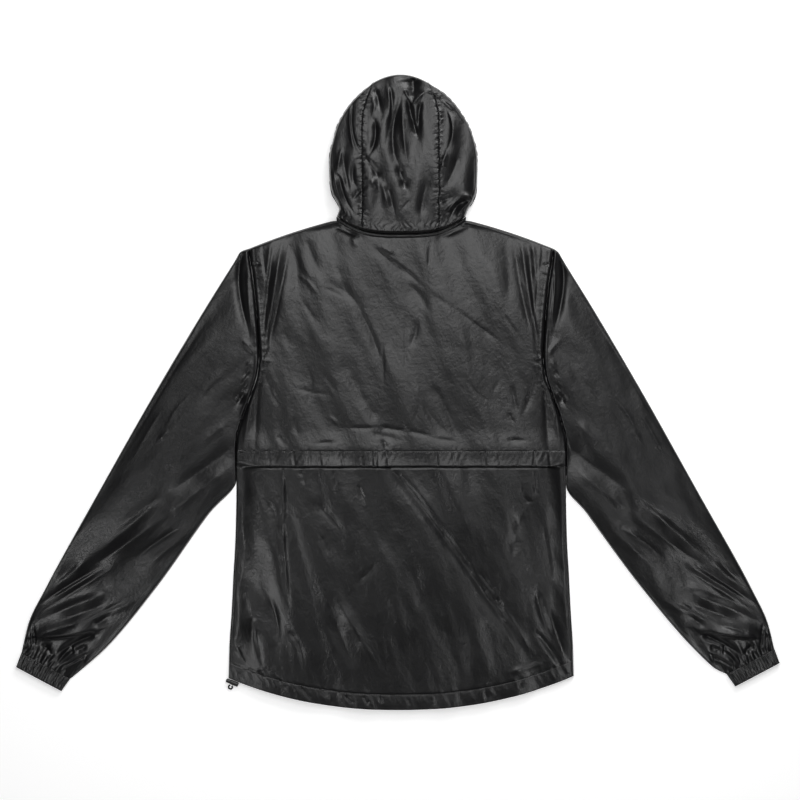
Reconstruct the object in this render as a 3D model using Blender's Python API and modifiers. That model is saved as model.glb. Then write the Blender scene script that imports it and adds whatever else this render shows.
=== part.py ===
"""Hooded windbreaker jacket of thin nylon, laid out flat on its front with its back up.

It is built as it is sewn: an upper back whose hemmed cape lies over a lower back, two
fronts joined by a zip, two one-piece sleeves with gathered elastic cuffs, a hood of three
panels on a neck band, and a drawcord casing round the hem with its cord lock.

Units are metres. +Z is up from the surface, +Y points to the hood, -Y to the hem. Every
cloth piece is a wall between an outer and an inner grid of points, both worked out from
the garment's plan and from one height function, so that neighbours meet at their seams.
"""
import math

import bmesh
import bpy
import numpy as np

# ---------------------------------------------------------------- cloth and gaps
WALL = 0.0012               # thickness of the modelled cloth
SEAM = 0.0003               # gap between two pieces at a seam
HALF_SEAM = SEAM / 2
EDGE_TOP = 2 * WALL + SEAM  # top of the folded outer edges: two walls and a gap

# ---------------------------------------------------------------- body
BODY_AXIS = 0.005           # x of the centre back
SHOULDER_HALF = 0.226       # centre back to shoulder point
SHOULDER_Y = 0.2145
NECK_HALF = 0.096           # centre back to the side of the neck
NECK_SIDE_Y = 0.256
BACK_NECK_Y = 0.231         # lowest point of the back neck
FRONT_NECK_Y = 0.207        # lowest point of the front neck
SHOULDER_ARCH = 0.0025      # the shoulder line bows up by this much
UNDERARM_Y = -0.040
CAPE_STITCH_Y = -0.087      # the cape is stitched down here
CAPE_EDGE_Y = -0.109        # and its free hem ends here
TUCK_TOP_Y = -0.090         # the lower back starts here, under the cape
HEM_SIDE_Y = -0.422
BACK_HEM_DROP = 0.049       # the back hem is this much lower at its centre
FRONT_HEM_DROP = 0.026
HEM_DEPTH = 0.023           # depth of the drawcord casing
CASING_SWELL = 0.6          # it is this much fatter than flat, in heights of its puckers
HEM_HALF = 0.252
HEM_AXIS = 0.001            # the hem's lowest point lies a little left of the centre back
HEM_POWER = 2.2             # its curve is flatter than a circle's

# columns: level y, half width of the body there
BODY_SECTIONS = (
    (-0.430, 0.2570), (-0.377, 0.2555), (-0.323, 0.2520), (-0.270, 0.2495),
    (-0.216, 0.2465), (-0.130, 0.2450), (-0.087, 0.2460), (-0.066, 0.2440),
    (-0.037, 0.2360), (-0.005, 0.2240), (0.031, 0.2130), (0.053, 0.2110),
    (0.108, 0.2140), (0.168, 0.2200), (0.214, 0.2260), (0.260, 0.2260),
)

BACK_COLUMNS = 29           # grid lines across the cape's hem and the lower back
HEM_COLUMNS = 2 * BACK_COLUMNS - 1
HEM_FADE = 6                # puckers fade out over a sixth of the half width at each side

# ---------------------------------------------------------------- sleeves and cuffs
# columns: share of the way from shoulder to cuff, then how far the outer edge is out from
# the centre back and its y, and the same for the inner (underarm) edge. The right arm lies
# a little closer in than the left (-1 is the left side, 1 the right).
SLEEVE_SECTIONS = {
    -1: (
        (0.00, 0.2264, 0.2145, 0.2368, -0.0400), (0.03, 0.2385, 0.2095, 0.2440, -0.0640),
        (0.07, 0.2480, 0.1950, 0.2475, -0.0870), (0.20, 0.2930, 0.1230, 0.2470, -0.1280),
        (0.38, 0.3675, -0.0020, 0.2870, -0.1815), (0.59, 0.4485, -0.1450, 0.3630, -0.2880),
        (0.80, 0.5270, -0.2870, 0.4375, -0.3780), (0.91, 0.5540, -0.3420, 0.4765, -0.4125),
        (1.00, 0.5645, -0.3865, 0.4920, -0.4250),
    ),
    1: (
        (0.00, 0.2264, 0.2145, 0.2368, -0.0400), (0.03, 0.2330, 0.2095, 0.2440, -0.0640),
        (0.07, 0.2420, 0.1950, 0.2475, -0.0870), (0.20, 0.2865, 0.1230, 0.2470, -0.1350),
        (0.38, 0.3600, -0.0020, 0.2775, -0.1815), (0.59, 0.4400, -0.1450, 0.3560, -0.2880),
        (0.80, 0.5190, -0.2870, 0.4325, -0.3780), (0.91, 0.5450, -0.3420, 0.4685, -0.4110),
        (1.00, 0.5545, -0.3805, 0.4835, -0.4180),
    ),
}
SLEEVE_STATIONS = 24
UNDER_STEPS = 7             # grid steps across a sleeve's flat underside
ARMHOLE_BLEND = 0.30        # the armhole's curve has faded out of the sleeve by this share
BESIDE_BODY = 0.0011        # the hanging sleeve stays this far from the body's side
BESIDE_SHARE = 0.03         # from this share on
BESIDE_Y = -0.139           # down to this level
END_CROWDING = 0.35         # the rings are a little closer together at both ends
SLEEVE_GATHERS = 7          # waves across one face of the sleeve where the cuff gathers it
CUFF_DEPTH = 0.0215
CUFF_SPREAD = 0.93          # width of the cuff's mouth over its seam's
CUFF_TOP = 0.0085
CUFF_WALL = 0.0016
CUFF_RIBS = 20              # on the upper face
RIB_HEIGHT = 0.0007
CUFF_ROUNDING = 0.5         # a flattened tube: its upper face is fuller than an ellipse

# ---------------------------------------------------------------- hood
HOOD_AXIS = 0.004
BAND_DEPTH = 0.005          # the neck band, between back and hood
HOOD_SEAM_HALF = 0.057      # half width of the centre panel
CROWN_SEAM_HALF = 0.0405    # and where it turns over the crown
SEAM_BENDS_Y = 0.400        # above this level the two seams draw together
CROWN_SIDE_Y = 0.460
CROWN_TOP_Y = 0.472
CROWN_TURN = 0.95           # past this share the seam runs along the side panel's last row
LAST_ROW_EASE = 0.0005      # that row stands back a little more, over the tight turn
UNDER_SHARES = (0, 0.12, 0.28, 0.60, 1)   # grid places from the rolled edge to the opening
RIM_TOP_Y = 0.427           # forehead edge of the face opening, on the underside
RIM_SIDE_Y = 0.418
RIM_SEAM_HALF = 0.034
HOOD_GATHERS = 8            # waves across the centre panel at the neck
HOOD_ROWS = 13              # grid lines up the hood

# columns: y, left edge x, right edge x of the hood seen from above
HOOD_OUTLINE = (
    (0.264, -0.0895, 0.1020), (0.272, -0.0870, 0.1045), (0.282, -0.0905, 0.1110),
    (0.295, -0.0980, 0.1160), (0.318, -0.1015, 0.1180), (0.352, -0.1015, 0.1180),
    (0.376, -0.0960, 0.1130), (0.400, -0.0885, 0.1035), (0.424, -0.0740, 0.0880),
    (0.443, -0.0570, 0.0700), (0.460, -0.0365, 0.0445),
)
# columns: distance from the hood's axis and y of the face opening's edge
RIM_SECTIONS = (
    (0.0050, 0.2087), (0.0330, 0.2360), (0.0500, 0.2800), (0.0560, 0.3300),
    (0.0510, 0.3800), (0.0340, 0.4180),
)

# ---------------------------------------------------------------- heights
CLOTH_PUFF = 0.0085         # the upper layer stands this much above its folded edges
PUFF_REACH = 0.045          # and gets there this far in from them
FOLD_REACH = 0.020          # folds fade out over this much towards the folded edges
HOOD_PUFF = 0.023           # the hood stands higher
HOOD_REACH = 0.050
HOOD_LEVELS = (0.222, 0.290)    # over these levels y the body's height turns into the hood's
HOOD_EDGE = 0.006           # the hood's sides roll round at this height
ROLL_LEVELS = (0.262, 0.320)    # over these levels the flat folded edge becomes a rolled one
ROLL_REACH = 0.015
NECK_GATHER_RISE = 0.0016   # the waves where the neck band gathers the hood
NECK_GATHER_AT = 0.014      # are highest this far above the neck seam
CUFF_GATHER_RISE = 0.0008
CUFF_REACH = 0.050          # the sleeve narrows in height over this much before the cuff
BLOUSE_RISE = 0.004         # and its spare cloth stands up in a roll
BLOUSE_BACK = 0.016         # this far back from the cuff
BLOUSE_WIDTH = 0.012
ARMS_FROM = 0.3             # only sleeves lie further out than this
CAPE_RISE = 0.0021          # the cape's hem lies on the lower back
CAPE_RISE_REACH = 0.035
HEM_RELIEF = 0.0006
SLOPE_STEP = 0.0008         # normals are worked out over this step

# Largest folds. columns: start x, y, end x, y, half width, height (a trough is negative)
FOLDS = (
    (-0.032, 0.217, 0.045, 0.146, 0.012, -0.0020),   # upper back, from the neck down right
    (0.045, 0.146, 0.151, 0.079, 0.012, -0.0022),
    (-0.134, 0.232, -0.067, 0.134, 0.020, -0.0022),  # left blade
    (-0.067, 0.134, -0.024, 0.034, 0.022, -0.0020),
    (0.110, 0.190, 0.165, 0.020, 0.022, -0.0016),    # right blade
    (-0.169, 0.228, -0.191, 0.116, 0.009, 0.0034),   # ridges beside the armholes
    (-0.191, 0.116, -0.198, 0.045, 0.009, 0.0030),
    (0.184, 0.216, 0.203, 0.116, 0.009, 0.0034),
    (0.203, 0.116, 0.208, 0.045, 0.009, 0.0030),
    (-0.204, 0.020, -0.212, -0.083, 0.009, -0.0042), # troughs down the sides
    (-0.212, -0.090, -0.217, -0.300, 0.010, -0.0038),
    (0.214, 0.020, 0.222, -0.083, 0.009, -0.0042),
    (0.222, -0.090, 0.229, -0.250, 0.010, -0.0034),
    (-0.003, -0.112, 0.048, -0.190, 0.014, -0.0032), # lower back
    (-0.172, -0.112, -0.172, -0.200, 0.012, -0.0020),
    (-0.078, -0.325, -0.028, -0.412, 0.018, 0.0032),
    (-0.176, -0.320, -0.176, -0.400, 0.012, -0.0030),
    (0.204, -0.350, 0.252, -0.412, 0.011, -0.0034),
    (-0.425, -0.248, -0.531, -0.314, 0.014, 0.0030), # left forearm
    (-0.440, -0.350, -0.530, -0.368, 0.010, 0.0050),
    (-0.440, -0.365, -0.515, -0.388, 0.008, -0.0040),
    (-0.300, 0.020, -0.420, -0.200, 0.022, -0.0018), # left upper arm
    (0.430, -0.245, 0.528, -0.312, 0.014, 0.0030),   # right forearm
    (0.446, -0.346, 0.532, -0.360, 0.010, 0.0045),
    (0.446, -0.362, 0.515, -0.383, 0.008, -0.0040),
    (0.310, 0.020, 0.430, -0.200, 0.022, -0.0018),   # right upper arm
    (0.008, 0.452, 0.026, 0.372, 0.010, -0.0055),    # hood, down from the crown
    (-0.012, 0.382, 0.008, 0.300, 0.012, -0.0040),
    (-0.084, 0.345, -0.040, 0.275, 0.010, -0.0045),
    (0.098, 0.270, 0.072, 0.330, 0.009, 0.0050),
)

# ---------------------------------------------------------------- zip, slider, pull tab
ZIP_HALF = 0.0080           # one side of the zip: tape and teeth
CHAIN_HALF = 0.0030
CHAIN_RISE = 0.0012         # the teeth stand this much above the tape, on the inside
ZIP_TOP_Y = 0.2050
ZIP_LEVEL_Y = 0.145         # below this level the zip lies flat on the surface
SLIDER_LIFT = 0.0046        # the fronts lie this much higher over the slider
LIFT_FLAT = 0.026
LIFT_REACH = 0.055
SLIDER_SHOWS = 0.5          # the back rises this share of it as well
SLIDER_Y = 0.2015
SLIDER_SIZE = (0.0090, 0.0102, 0.0012)   # each plate: across, along, thick
POST_SIZE = (0.0022, 0.0014)
TAB_AXIS_Z = 0.00215
TAB_THICK = 0.0010
TAB_SIZE = (0.0060, 0.0220)              # across, along
TAB_HOLE = (0.0032, 0.0040)
BAIL_WIDTH = 0.0012
BAIL_THICK = 0.0010
BAIL_SPAN = 0.0070

# ---------------------------------------------------------------- cord lock at the left hem
LOCK_CENTRE = (-0.2462, -0.4306)
LOCK_LENGTH = 0.0195
LOCK_RADIUS = 0.0035
LOCK_BUTTON = 0.0068        # the button's length, at the lock's left end
LOCK_BUTTON_RADIUS = 0.0031
LOCK_BEVEL = 0.0009
LOCK_SIDES = 20
LOCK_TURN = math.radians(-21.5)
CORD_RADIUS = 0.0013
LOOP_RADIUS = 0.0028
LOOP_DROP = 0.0074          # from the lock's middle to the loop's
LOOP_OPENING = 150          # degrees to each side of the loop's lowest point

CLOTH = ("black_nylon", (0.020, 0.020, 0.022), 0.42, 0.0)
RIB = ("black_rib", (0.018, 0.018, 0.020), 0.60, 0.0)
TAPE = ("black_tape", (0.016, 0.016, 0.018), 0.70, 0.0)
PLASTIC = ("black_plastic", (0.012, 0.012, 0.013), 0.35, 0.0)
METAL = ("black_metal", (0.055, 0.055, 0.060), 0.30, 0.9)


# ================================================================ curves and blends
def smooth(value, low, high):
    """0 below low, 1 above high, and a smooth step between them."""
    t = np.clip((value - low) / (high - low), 0, 1)
    return t * t * (3 - 2 * t)


def rounded(t):
    """A pillow's rise: quick at first, level once t reaches 1."""
    return 1 - (1 - np.clip(t, 0, 1)) ** 2


def curve(table, column, at):
    """A smooth curve through one column of a table, with no overshoot between its rows."""
    knots = np.array([row[0] for row in table])
    values = np.array([row[column] for row in table])
    steps = np.diff(knots)
    slopes = np.diff(values) / steps
    tangents = np.zeros(len(knots))
    level = slopes[:-1] * slopes[1:] > 0
    mean = 2 * slopes[:-1] * slopes[1:] / np.where(level, slopes[:-1] + slopes[1:], 1)
    tangents[1:-1] = np.where(level, mean, 0)
    tangents[0], tangents[-1] = slopes[0], slopes[-1]
    at = np.clip(at, knots[0], knots[-1])
    i = np.clip(np.searchsorted(knots, at, side="right") - 1, 0, len(steps) - 1)
    t = (at - knots[i]) / steps[i]
    h = steps[i]
    return ((1 + 2 * t) * (1 - t) ** 2 * values[i] + t * (1 - t) ** 2 * h * tangents[i]
            + t * t * (3 - 2 * t) * values[i + 1] - t * t * (1 - t) * h * tangents[i + 1])


def along(path, share):
    """Points at shares of the length of a line of straight steps."""
    path = np.array(path)
    run = np.concatenate([[0], np.cumsum(np.hypot(*np.diff(path, axis=0).T))])
    return (np.interp(share, run / run[-1], path[:, 0]),
            np.interp(share, run / run[-1], path[:, 1]))


# ================================================================ the plan of the garment
def half_width(y):
    return curve(BODY_SECTIONS, 1, y)


def shoulder_y(out):
    t = np.clip((out - NECK_HALF) / (SHOULDER_HALF - NECK_HALF), 0, 1)
    return NECK_SIDE_Y + t * (SHOULDER_Y - NECK_SIDE_Y) + SHOULDER_ARCH * 4 * t * (1 - t)


def back_neck_y(x):
    return BACK_NECK_Y + (NECK_SIDE_Y - BACK_NECK_Y) * np.abs((x - BODY_AXIS) / NECK_HALF) ** 3


def front_neck_y(x):
    return FRONT_NECK_Y + (NECK_SIDE_Y - FRONT_NECK_Y) * ((x - BODY_AXIS) / NECK_HALF) ** 2


def body_top_y(x, neck):
    """Upper edge of a body panel: its neck curve, then the shoulder line."""
    out = np.abs(x - BODY_AXIS)
    return np.where(out < NECK_HALF, neck(x), shoulder_y(out))


def hem_y(x, drop):
    return HEM_SIDE_Y - drop * (1 - np.abs((x - HEM_AXIS) / HEM_HALF) ** HEM_POWER)


def sleeve_plan(side, share, across):
    """Plan point of a sleeve; across runs 0 to 1 from the outer edge to the inner one."""
    table = SLEEVE_SECTIONS[side]
    outer_out, outer_y, inner_out, inner_y = (curve(table, i, share) for i in (1, 2, 3, 4))
    out = outer_out + across * (inner_out - outer_out)
    y = outer_y + across * (inner_y - outer_y)
    first = table[0]
    straight_out = first[1] + across * (first[3] - first[1])
    straight_y = first[2] + across * (first[4] - first[2])
    arm_y = SHOULDER_Y + across * (UNDERARM_Y - SHOULDER_Y)
    arm_out = half_width(arm_y) + SEAM
    fade = 1 - smooth(share, 0, ARMHOLE_BLEND)
    out = out + fade * (arm_out - straight_out)
    y = y + fade * (arm_y - straight_y)
    body_side = half_width(y) + SEAM + BESIDE_BODY * smooth(share, 0, BESIDE_SHARE)
    out = np.where(y > BESIDE_Y, np.maximum(out, body_side), out)
    return BODY_AXIS + side * out, y


def hood_edge(side, share):
    """Plan point of the hood's outer edge, from the neck to the crown seam."""
    column = 1 if side < 0 else 2
    return along([(row[column], row[0]) for row in HOOD_OUTLINE], share)


def hood_seam_x(side, y):
    turn = np.clip((y - SEAM_BENDS_Y) / (CROWN_SIDE_Y - SEAM_BENDS_Y), 0, 1) ** 1.7
    return HOOD_AXIS + side * (HOOD_SEAM_HALF + (CROWN_SEAM_HALF - HOOD_SEAM_HALF) * turn)


def crown_y(x):
    return CROWN_TOP_Y - (CROWN_TOP_Y - CROWN_SIDE_Y) * ((x - HOOD_AXIS) / CROWN_SEAM_HALF) ** 2


def hood_base_y(x):
    return back_neck_y(x) + BAND_DEPTH + 2 * SEAM


def folded_edges():
    """Lines on the plan where the upper layer comes down to meet the lower one."""
    edges = []
    share = np.linspace(0, 1, 41)
    for side in (-1, 1):
        for across in (0.0, 1.0):
            edges.append(np.stack(sleeve_plan(side, share, np.full(41, across)), 1))
        level = np.linspace(UNDERARM_Y, HEM_SIDE_Y - 0.030, 25)
        edges.append(np.stack([BODY_AXIS + side * half_width(level), level], 1))
        out = np.linspace(NECK_HALF, SHOULDER_HALF, 8)
        edges.append(np.stack([BODY_AXIS + side * out, shoulder_y(out)], 1))
        edges.append(np.stack(hood_edge(side, share[::2]), 1))
    x = HOOD_AXIS + CROWN_SEAM_HALF * np.linspace(-1, 1, 9)
    edges.append(np.stack([x, crown_y(x)], 1))
    return edges


EDGES = folded_edges()


def edge_distance(x, y):
    """Plan distance from each point to the nearest folded edge."""
    best = np.full(np.shape(x), 1.0)
    for path in EDGES:
        for start, end in zip(path[:-1], path[1:]):
            step = end - start
            t = ((x - start[0]) * step[0] + (y - start[1]) * step[1]) / (step @ step)
            t = np.clip(t, 0, 1)
            gap = np.hypot(x - start[0] - t * step[0], y - start[1] - t * step[1])
            best = np.minimum(best, gap)
    return best


# ================================================================ heights over the plan
def cuff_frame(side):
    """Middle of the cuff seam, its half width, and unit vectors across and down the arm."""
    ends = [np.array(sleeve_plan(side, np.float64(1), np.float64(across))) for across in (0, 1)]
    across = (ends[1] - ends[0]) / np.linalg.norm(ends[1] - ends[0])
    down = np.array([across[1], -across[0]])
    down = down if down[1] < 0 else -down
    return (ends[0] + ends[1]) / 2, np.linalg.norm(ends[1] - ends[0]) / 2, across, down


CUFFS = {side: cuff_frame(side) for side in (-1, 1)}


def fold_height(x, y):
    """Each fold is a bell across its line that fades out at both ends."""
    total = np.zeros(np.shape(x))
    for x0, y0, x1, y1, width, height in FOLDS:
        length = math.hypot(x1 - x0, y1 - y0)
        ahead = ((x - x0) * (x1 - x0) + (y - y0) * (y1 - y0)) / length ** 2
        aside = ((x - x0) * (y1 - y0) - (y - y0) * (x1 - x0)) / length
        fade = smooth(ahead, -0.15, 0.15) * (1 - smooth(ahead, 0.85, 1.15))
        total += height * np.exp(-(aside / width) ** 2) * fade
    return total


def lift(x, y):
    """The lower layer rises where it lies on the zip slider."""
    far = np.hypot(x - BODY_AXIS, y - SLIDER_Y)
    return SLIDER_LIFT * (1 - smooth(far, LIFT_FLAT, LIFT_REACH))


def neck_gathers(x, y):
    """Waves across the hood just above the neck band."""
    above = y - back_neck_y(x)
    phase = (x - HOOD_AXIS + HOOD_SEAM_HALF) / HOOD_SEAM_HALF * math.pi * HOOD_GATHERS
    fade = np.exp(-(above / NECK_GATHER_AT - 1) ** 2) * smooth(above, BAND_DEPTH, NECK_GATHER_AT)
    return NECK_GATHER_RISE * np.cos(phase) * fade


def gathered_height(side, x, y):
    """Height of the sleeve where the cuff gathers it, and how much it counts at a point."""
    middle, half, across, down = CUFFS[side]
    ahead = (x - middle[0]) * down[0] + (y - middle[1]) * down[1]
    aside = ((x - middle[0]) * across[0] + (y - middle[1]) * across[1]) / half
    wave = CUFF_GATHER_RISE * np.cos(math.pi * SLEEVE_GATHERS * (aside + 1))
    blouse = BLOUSE_RISE * np.exp(-((ahead + BLOUSE_BACK) / BLOUSE_WIDTH) ** 2)
    flank = np.sqrt(np.clip(1 - aside ** 2, 0, 1))
    height = EDGE_TOP + (CUFF_TOP + wave + blouse - EDGE_TOP) * flank
    return height, smooth(ahead, -CUFF_REACH, 0.0) * (side * x > ARMS_FROM)


def top_height(x, y):
    """Outer face of the upper layer: a pillow from the folded edges, folds and gathers."""
    inside = edge_distance(x, y)
    height = EDGE_TOP + CLOTH_PUFF * rounded(inside / PUFF_REACH)
    height += HOOD_EDGE * smooth(y, *ROLL_LEVELS)
    height += HOOD_PUFF * rounded(inside / HOOD_REACH) * smooth(y, *HOOD_LEVELS)
    folds = fold_height(x, y) + neck_gathers(x, y)
    height += folds * rounded(inside / FOLD_REACH) + SLIDER_SHOWS * lift(x, y)
    for side in (-1, 1):
        gathered, near = gathered_height(side, x, y)
        height += near * (gathered - height)
    return np.maximum(height, EDGE_TOP)


def cape_rise(y):
    """The cape climbs on to the lower back that it overlaps."""
    return CAPE_RISE * (1 - smooth(y, CAPE_STITCH_Y, CAPE_STITCH_Y + CAPE_RISE_REACH))


def under_height(x, y):
    """Outer face of the hood's underside: on the surface, and rolled up at its edge."""
    roll = 1 - rounded(edge_distance(x, y) / ROLL_REACH)
    return lift(x, y) + HOOD_EDGE * smooth(y, *ROLL_LEVELS) * roll


def facing(height, x, y, up):
    """Unit normals of a height function, from its slopes a little to each side."""
    step = SLOPE_STEP
    slope_x = (height(x + step, y) - height(x - step, y)) / (2 * step)
    slope_y = (height(x, y + step) - height(x, y - step)) / (2 * step)
    normal = np.stack([-slope_x, -slope_y, np.ones(np.shape(x))], -1) * up
    return normal / np.linalg.norm(normal, axis=-1, keepdims=True)


# ================================================================ making solids
def collection(name):
    group = bpy.data.collections.new(name)
    bpy.context.scene.collection.children.link(group)
    return group


def material(look):
    name, colour, roughness, metallic = look
    found = bpy.data.materials.get(name)
    if found is None:
        found = bpy.data.materials.new(name)
        found.use_nodes = True
        shader = found.node_tree.nodes["Principled BSDF"]
        shader.inputs["Base Color"].default_value = (*colour, 1.0)
        shader.inputs["Roughness"].default_value = roughness
        shader.inputs["Metallic"].default_value = metallic
    return found


def add_object(name, mesh, look):
    mesh.materials.append(material(look))
    made = bpy.data.objects.new(name, mesh)
    JACKET.objects.link(made)
    return made


def wall(name, outer, inner, look, ring=False):
    """Closes two matching grids, [row, column, xyz], into one solid wall.

    A ring's columns run round and join up; its two end rows are its open mouths.
    """
    rows, columns = outer.shape[:2]
    bm = bmesh.new()
    grids = [[[bm.verts.new(point) for point in row] for row in grid] for grid in (outer, inner)]
    last = columns if ring else columns - 1
    for front, flip in zip(grids, (False, True)):
        for i in range(rows - 1):
            for j in range(last):
                k = (j + 1) % columns
                face = [front[i][j], front[i][k], front[i + 1][k], front[i + 1][j]]
                bm.faces.new(face[::-1] if flip else face)
    face_out, face_in = grids
    for i, turn in ((0, 1), (rows - 1, -1)):
        for j in range(last):
            k = (j + 1) % columns
            rim = [face_out[i][j], face_in[i][j], face_in[i][k], face_out[i][k]]
            bm.faces.new(rim[::turn])
    if not ring:
        for j, turn in ((0, -1), (columns - 1, 1)):
            for i in range(rows - 1):
                rim = [face_out[i][j], face_in[i][j], face_in[i + 1][j], face_out[i + 1][j]]
                bm.faces.new(rim[::turn])
    bmesh.ops.recalc_face_normals(bm, faces=bm.faces)
    if bm.calc_volume(signed=True) < 0:
        bmesh.ops.reverse_faces(bm, faces=bm.faces)
    mesh = bpy.data.meshes.new(name)
    bm.to_mesh(mesh)
    bm.free()
    mesh.shade_smooth()
    mesh.set_sharp_from_angle(angle=math.radians(50))
    return add_object(name, mesh, look)


def upper_sheet(name, x, y, look=CLOTH, raised=0.0):
    """A panel of the upper layer over a grid of plan points."""
    outer = np.stack([x, y, top_height(x, y) + raised], -1)
    return wall(name, outer, outer - WALL * facing(top_height, x, y, 1), look)


def lower_sheet(name, x, y, look=CLOTH, relief=0.0):
    """A panel of the lower layer, flat on the surface; relief thickens its inner face."""
    outer = np.stack([x, y, lift(x, y)], -1)
    inner = np.stack([x, y, lift(x, y) + WALL + relief], -1)
    return wall(name, outer, inner, look)


# ================================================================ pieces
def armhole_levels(steps):
    """Levels down the armhole, shared by the body panels and the sleeves' first rings."""
    return np.linspace(SHOULDER_Y, UNDERARM_Y, steps + 1)


def shares_down(levels):
    """The levels as shares of the way down the side edge."""
    return (levels[0] - levels) / (levels[0] - levels[-1])


def body_columns(count):
    """Column places from side to side, with one on each side of the neck."""
    neck = NECK_HALF / SHOULDER_HALF
    middle = np.linspace(-neck, neck, count // 2 + 1)
    side = np.linspace(neck, 1, count // 4 + 1)[1:]
    return np.concatenate([-side[::-1], middle, side])


def body_x(share, y):
    """x at a share of the body's half width, the sides held back from their seams."""
    return BODY_AXIS + share * (half_width(y) - HALF_SEAM)


def make_upper_back():
    share = body_columns(26)[None, :]
    top = body_top_y(BODY_AXIS + share * SHOULDER_HALF, back_neck_y)
    top = top - HALF_SEAM * (np.abs(share) < 1)
    below = np.linspace(UNDERARM_Y, CAPE_STITCH_Y + HALF_SEAM, 4)[1:]
    levels = np.concatenate([armhole_levels(2 * SLEEVE_GATHERS), below])
    y = top + shares_down(levels)[:, None] * (levels[-1] - top)
    upper_sheet("back_upper", body_x(share, y), y, raised=cape_rise(y))


def make_cape_hem():
    share = np.linspace(-1, 1, BACK_COLUMNS)[None, :]
    y = np.linspace(CAPE_STITCH_Y - HALF_SEAM, CAPE_EDGE_Y, 3)[:, None] + 0 * share
    x = body_x(share, y)
    pucker = HEM_RELIEF * (np.arange(share.size) % 2)
    raised = cape_rise(y) + pucker * rounded((1 - np.abs(share)) * HEM_FADE)
    upper_sheet("cape_hem", x, y, raised=raised)


def make_lower_back():
    share = np.linspace(-1, 1, BACK_COLUMNS)[None, :]
    bottom = hem_y(BODY_AXIS + share * HEM_HALF, BACK_HEM_DROP) + HEM_DEPTH + HALF_SEAM
    tucked = np.linspace(TUCK_TOP_Y, CAPE_EDGE_Y, 3)[:, None] + 0 * share
    down = np.linspace(0, 1, 14)[1:, None]
    y = np.concatenate([tucked, CAPE_EDGE_Y + down * (bottom - CAPE_EDGE_Y)])
    upper_sheet("back_lower", body_x(share, y), y)


def make_back_hem():
    share = np.linspace(-1, 1, HEM_COLUMNS)[None, :]
    bottom = hem_y(BODY_AXIS + share * HEM_HALF, BACK_HEM_DROP)
    down = np.array([0, 0.5, 1])[:, None]
    y = bottom + (HEM_DEPTH - HALF_SEAM) * (1 - down)
    swell = HEM_RELIEF * (CASING_SWELL + np.arange(share.size) % 2)
    raised = swell * np.sin(math.pi * down) * rounded((1 - np.abs(share)) * HEM_FADE)
    upper_sheet("hem_casing_back", body_x(share, y), y, raised=raised)


def make_front(side, name):
    """A front panel, from the zip to the side seam, and the hem casing below it."""
    share = np.concatenate([np.linspace(0, NECK_HALF / SHOULDER_HALF, 6),
                            np.linspace(NECK_HALF / SHOULDER_HALF, 1, 4)[1:]])[None, :]
    top_x = BODY_AXIS + side * np.maximum(share * SHOULDER_HALF, ZIP_HALF)
    top = body_top_y(top_x, front_neck_y) - HALF_SEAM * (share < 1)
    bottom = hem_y(BODY_AXIS + side * share * HEM_HALF, FRONT_HEM_DROP)
    seam = bottom + HEM_DEPTH

    def across(y):
        edge = ZIP_HALF + SEAM
        return BODY_AXIS + side * (edge + share * (half_width(y) - HALF_SEAM - edge))

    below = np.linspace(UNDERARM_Y, seam[0, -1] + HALF_SEAM, 7)[1:]
    levels = np.concatenate([armhole_levels(UNDER_STEPS), below])
    y = top + shares_down(levels)[:, None] * (seam + HALF_SEAM - top)
    lower_sheet("front_" + name, across(y), y)
    y = np.concatenate([seam - HALF_SEAM, bottom])
    lower_sheet("hem_casing_front_" + name, across(y), y, relief=HEM_RELIEF / 2)


def make_zip_side(side, name):
    """One zip tape with its row of teeth as a plain raised rib on the inside."""
    out = np.array([HALF_SEAM, CHAIN_HALF, CHAIN_HALF + SEAM, ZIP_HALF])
    bottom = hem_y(np.float64(BODY_AXIS), FRONT_HEM_DROP)
    y = np.concatenate([np.linspace(ZIP_TOP_Y, ZIP_LEVEL_Y, 10),
                        np.linspace(ZIP_LEVEL_Y, bottom, 7)[1:]])
    x = BODY_AXIS + side * out[None, :] + 0 * y[:, None]
    relief = np.where(out <= CHAIN_HALF, CHAIN_RISE, 0.0)[None, :]
    lower_sheet("zip_" + name, x, y[:, None] + 0 * x, TAPE, relief)


def make_sleeve(side, name):
    """A one-piece sleeve: a flattened tube, its rings running from armhole to cuff."""
    share = np.linspace(0, 1, SLEEVE_STATIONS)
    share = (share + END_CROWDING * share * (1 - share) * (2 * share - 1))[:, None]
    upper = np.linspace(0, 1, 2 * SLEEVE_GATHERS + 1)[None, :]
    lower = np.linspace(1, 0, UNDER_STEPS + 1)[None, :]
    top_x, top_y = sleeve_plan(side, share, upper)
    low_x, low_y = sleeve_plan(side, share, lower)
    outer_top = np.stack([top_x, top_y, top_height(top_x, top_y)], -1)
    outer_low = np.stack([low_x, low_y, 0 * low_x], -1)
    inner_top = outer_top - WALL * facing(top_height, top_x, top_y, 1)
    inner_low = outer_low + np.array([0, 0, WALL])
    inner_top[..., 2] = np.maximum(inner_top[..., 2], WALL + SEAM)
    for grid in (inner_top, inner_low):
        for edge, towards in ((0, -1), (-1, 0)):
            inward = (grid[:, towards] - grid[:, edge])[:, :2]
            inward /= np.linalg.norm(inward, axis=1, keepdims=True)
            grid[:, edge, :2] = (outer_top if grid is inner_top else outer_low)[:, edge, :2]
            grid[:, edge, :2] += WALL * inward
    outer = np.concatenate([outer_top, outer_low], 1)
    inner = np.concatenate([inner_top, inner_low], 1)
    wall("sleeve_" + name, outer, inner, CLOTH, ring=True)


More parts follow.
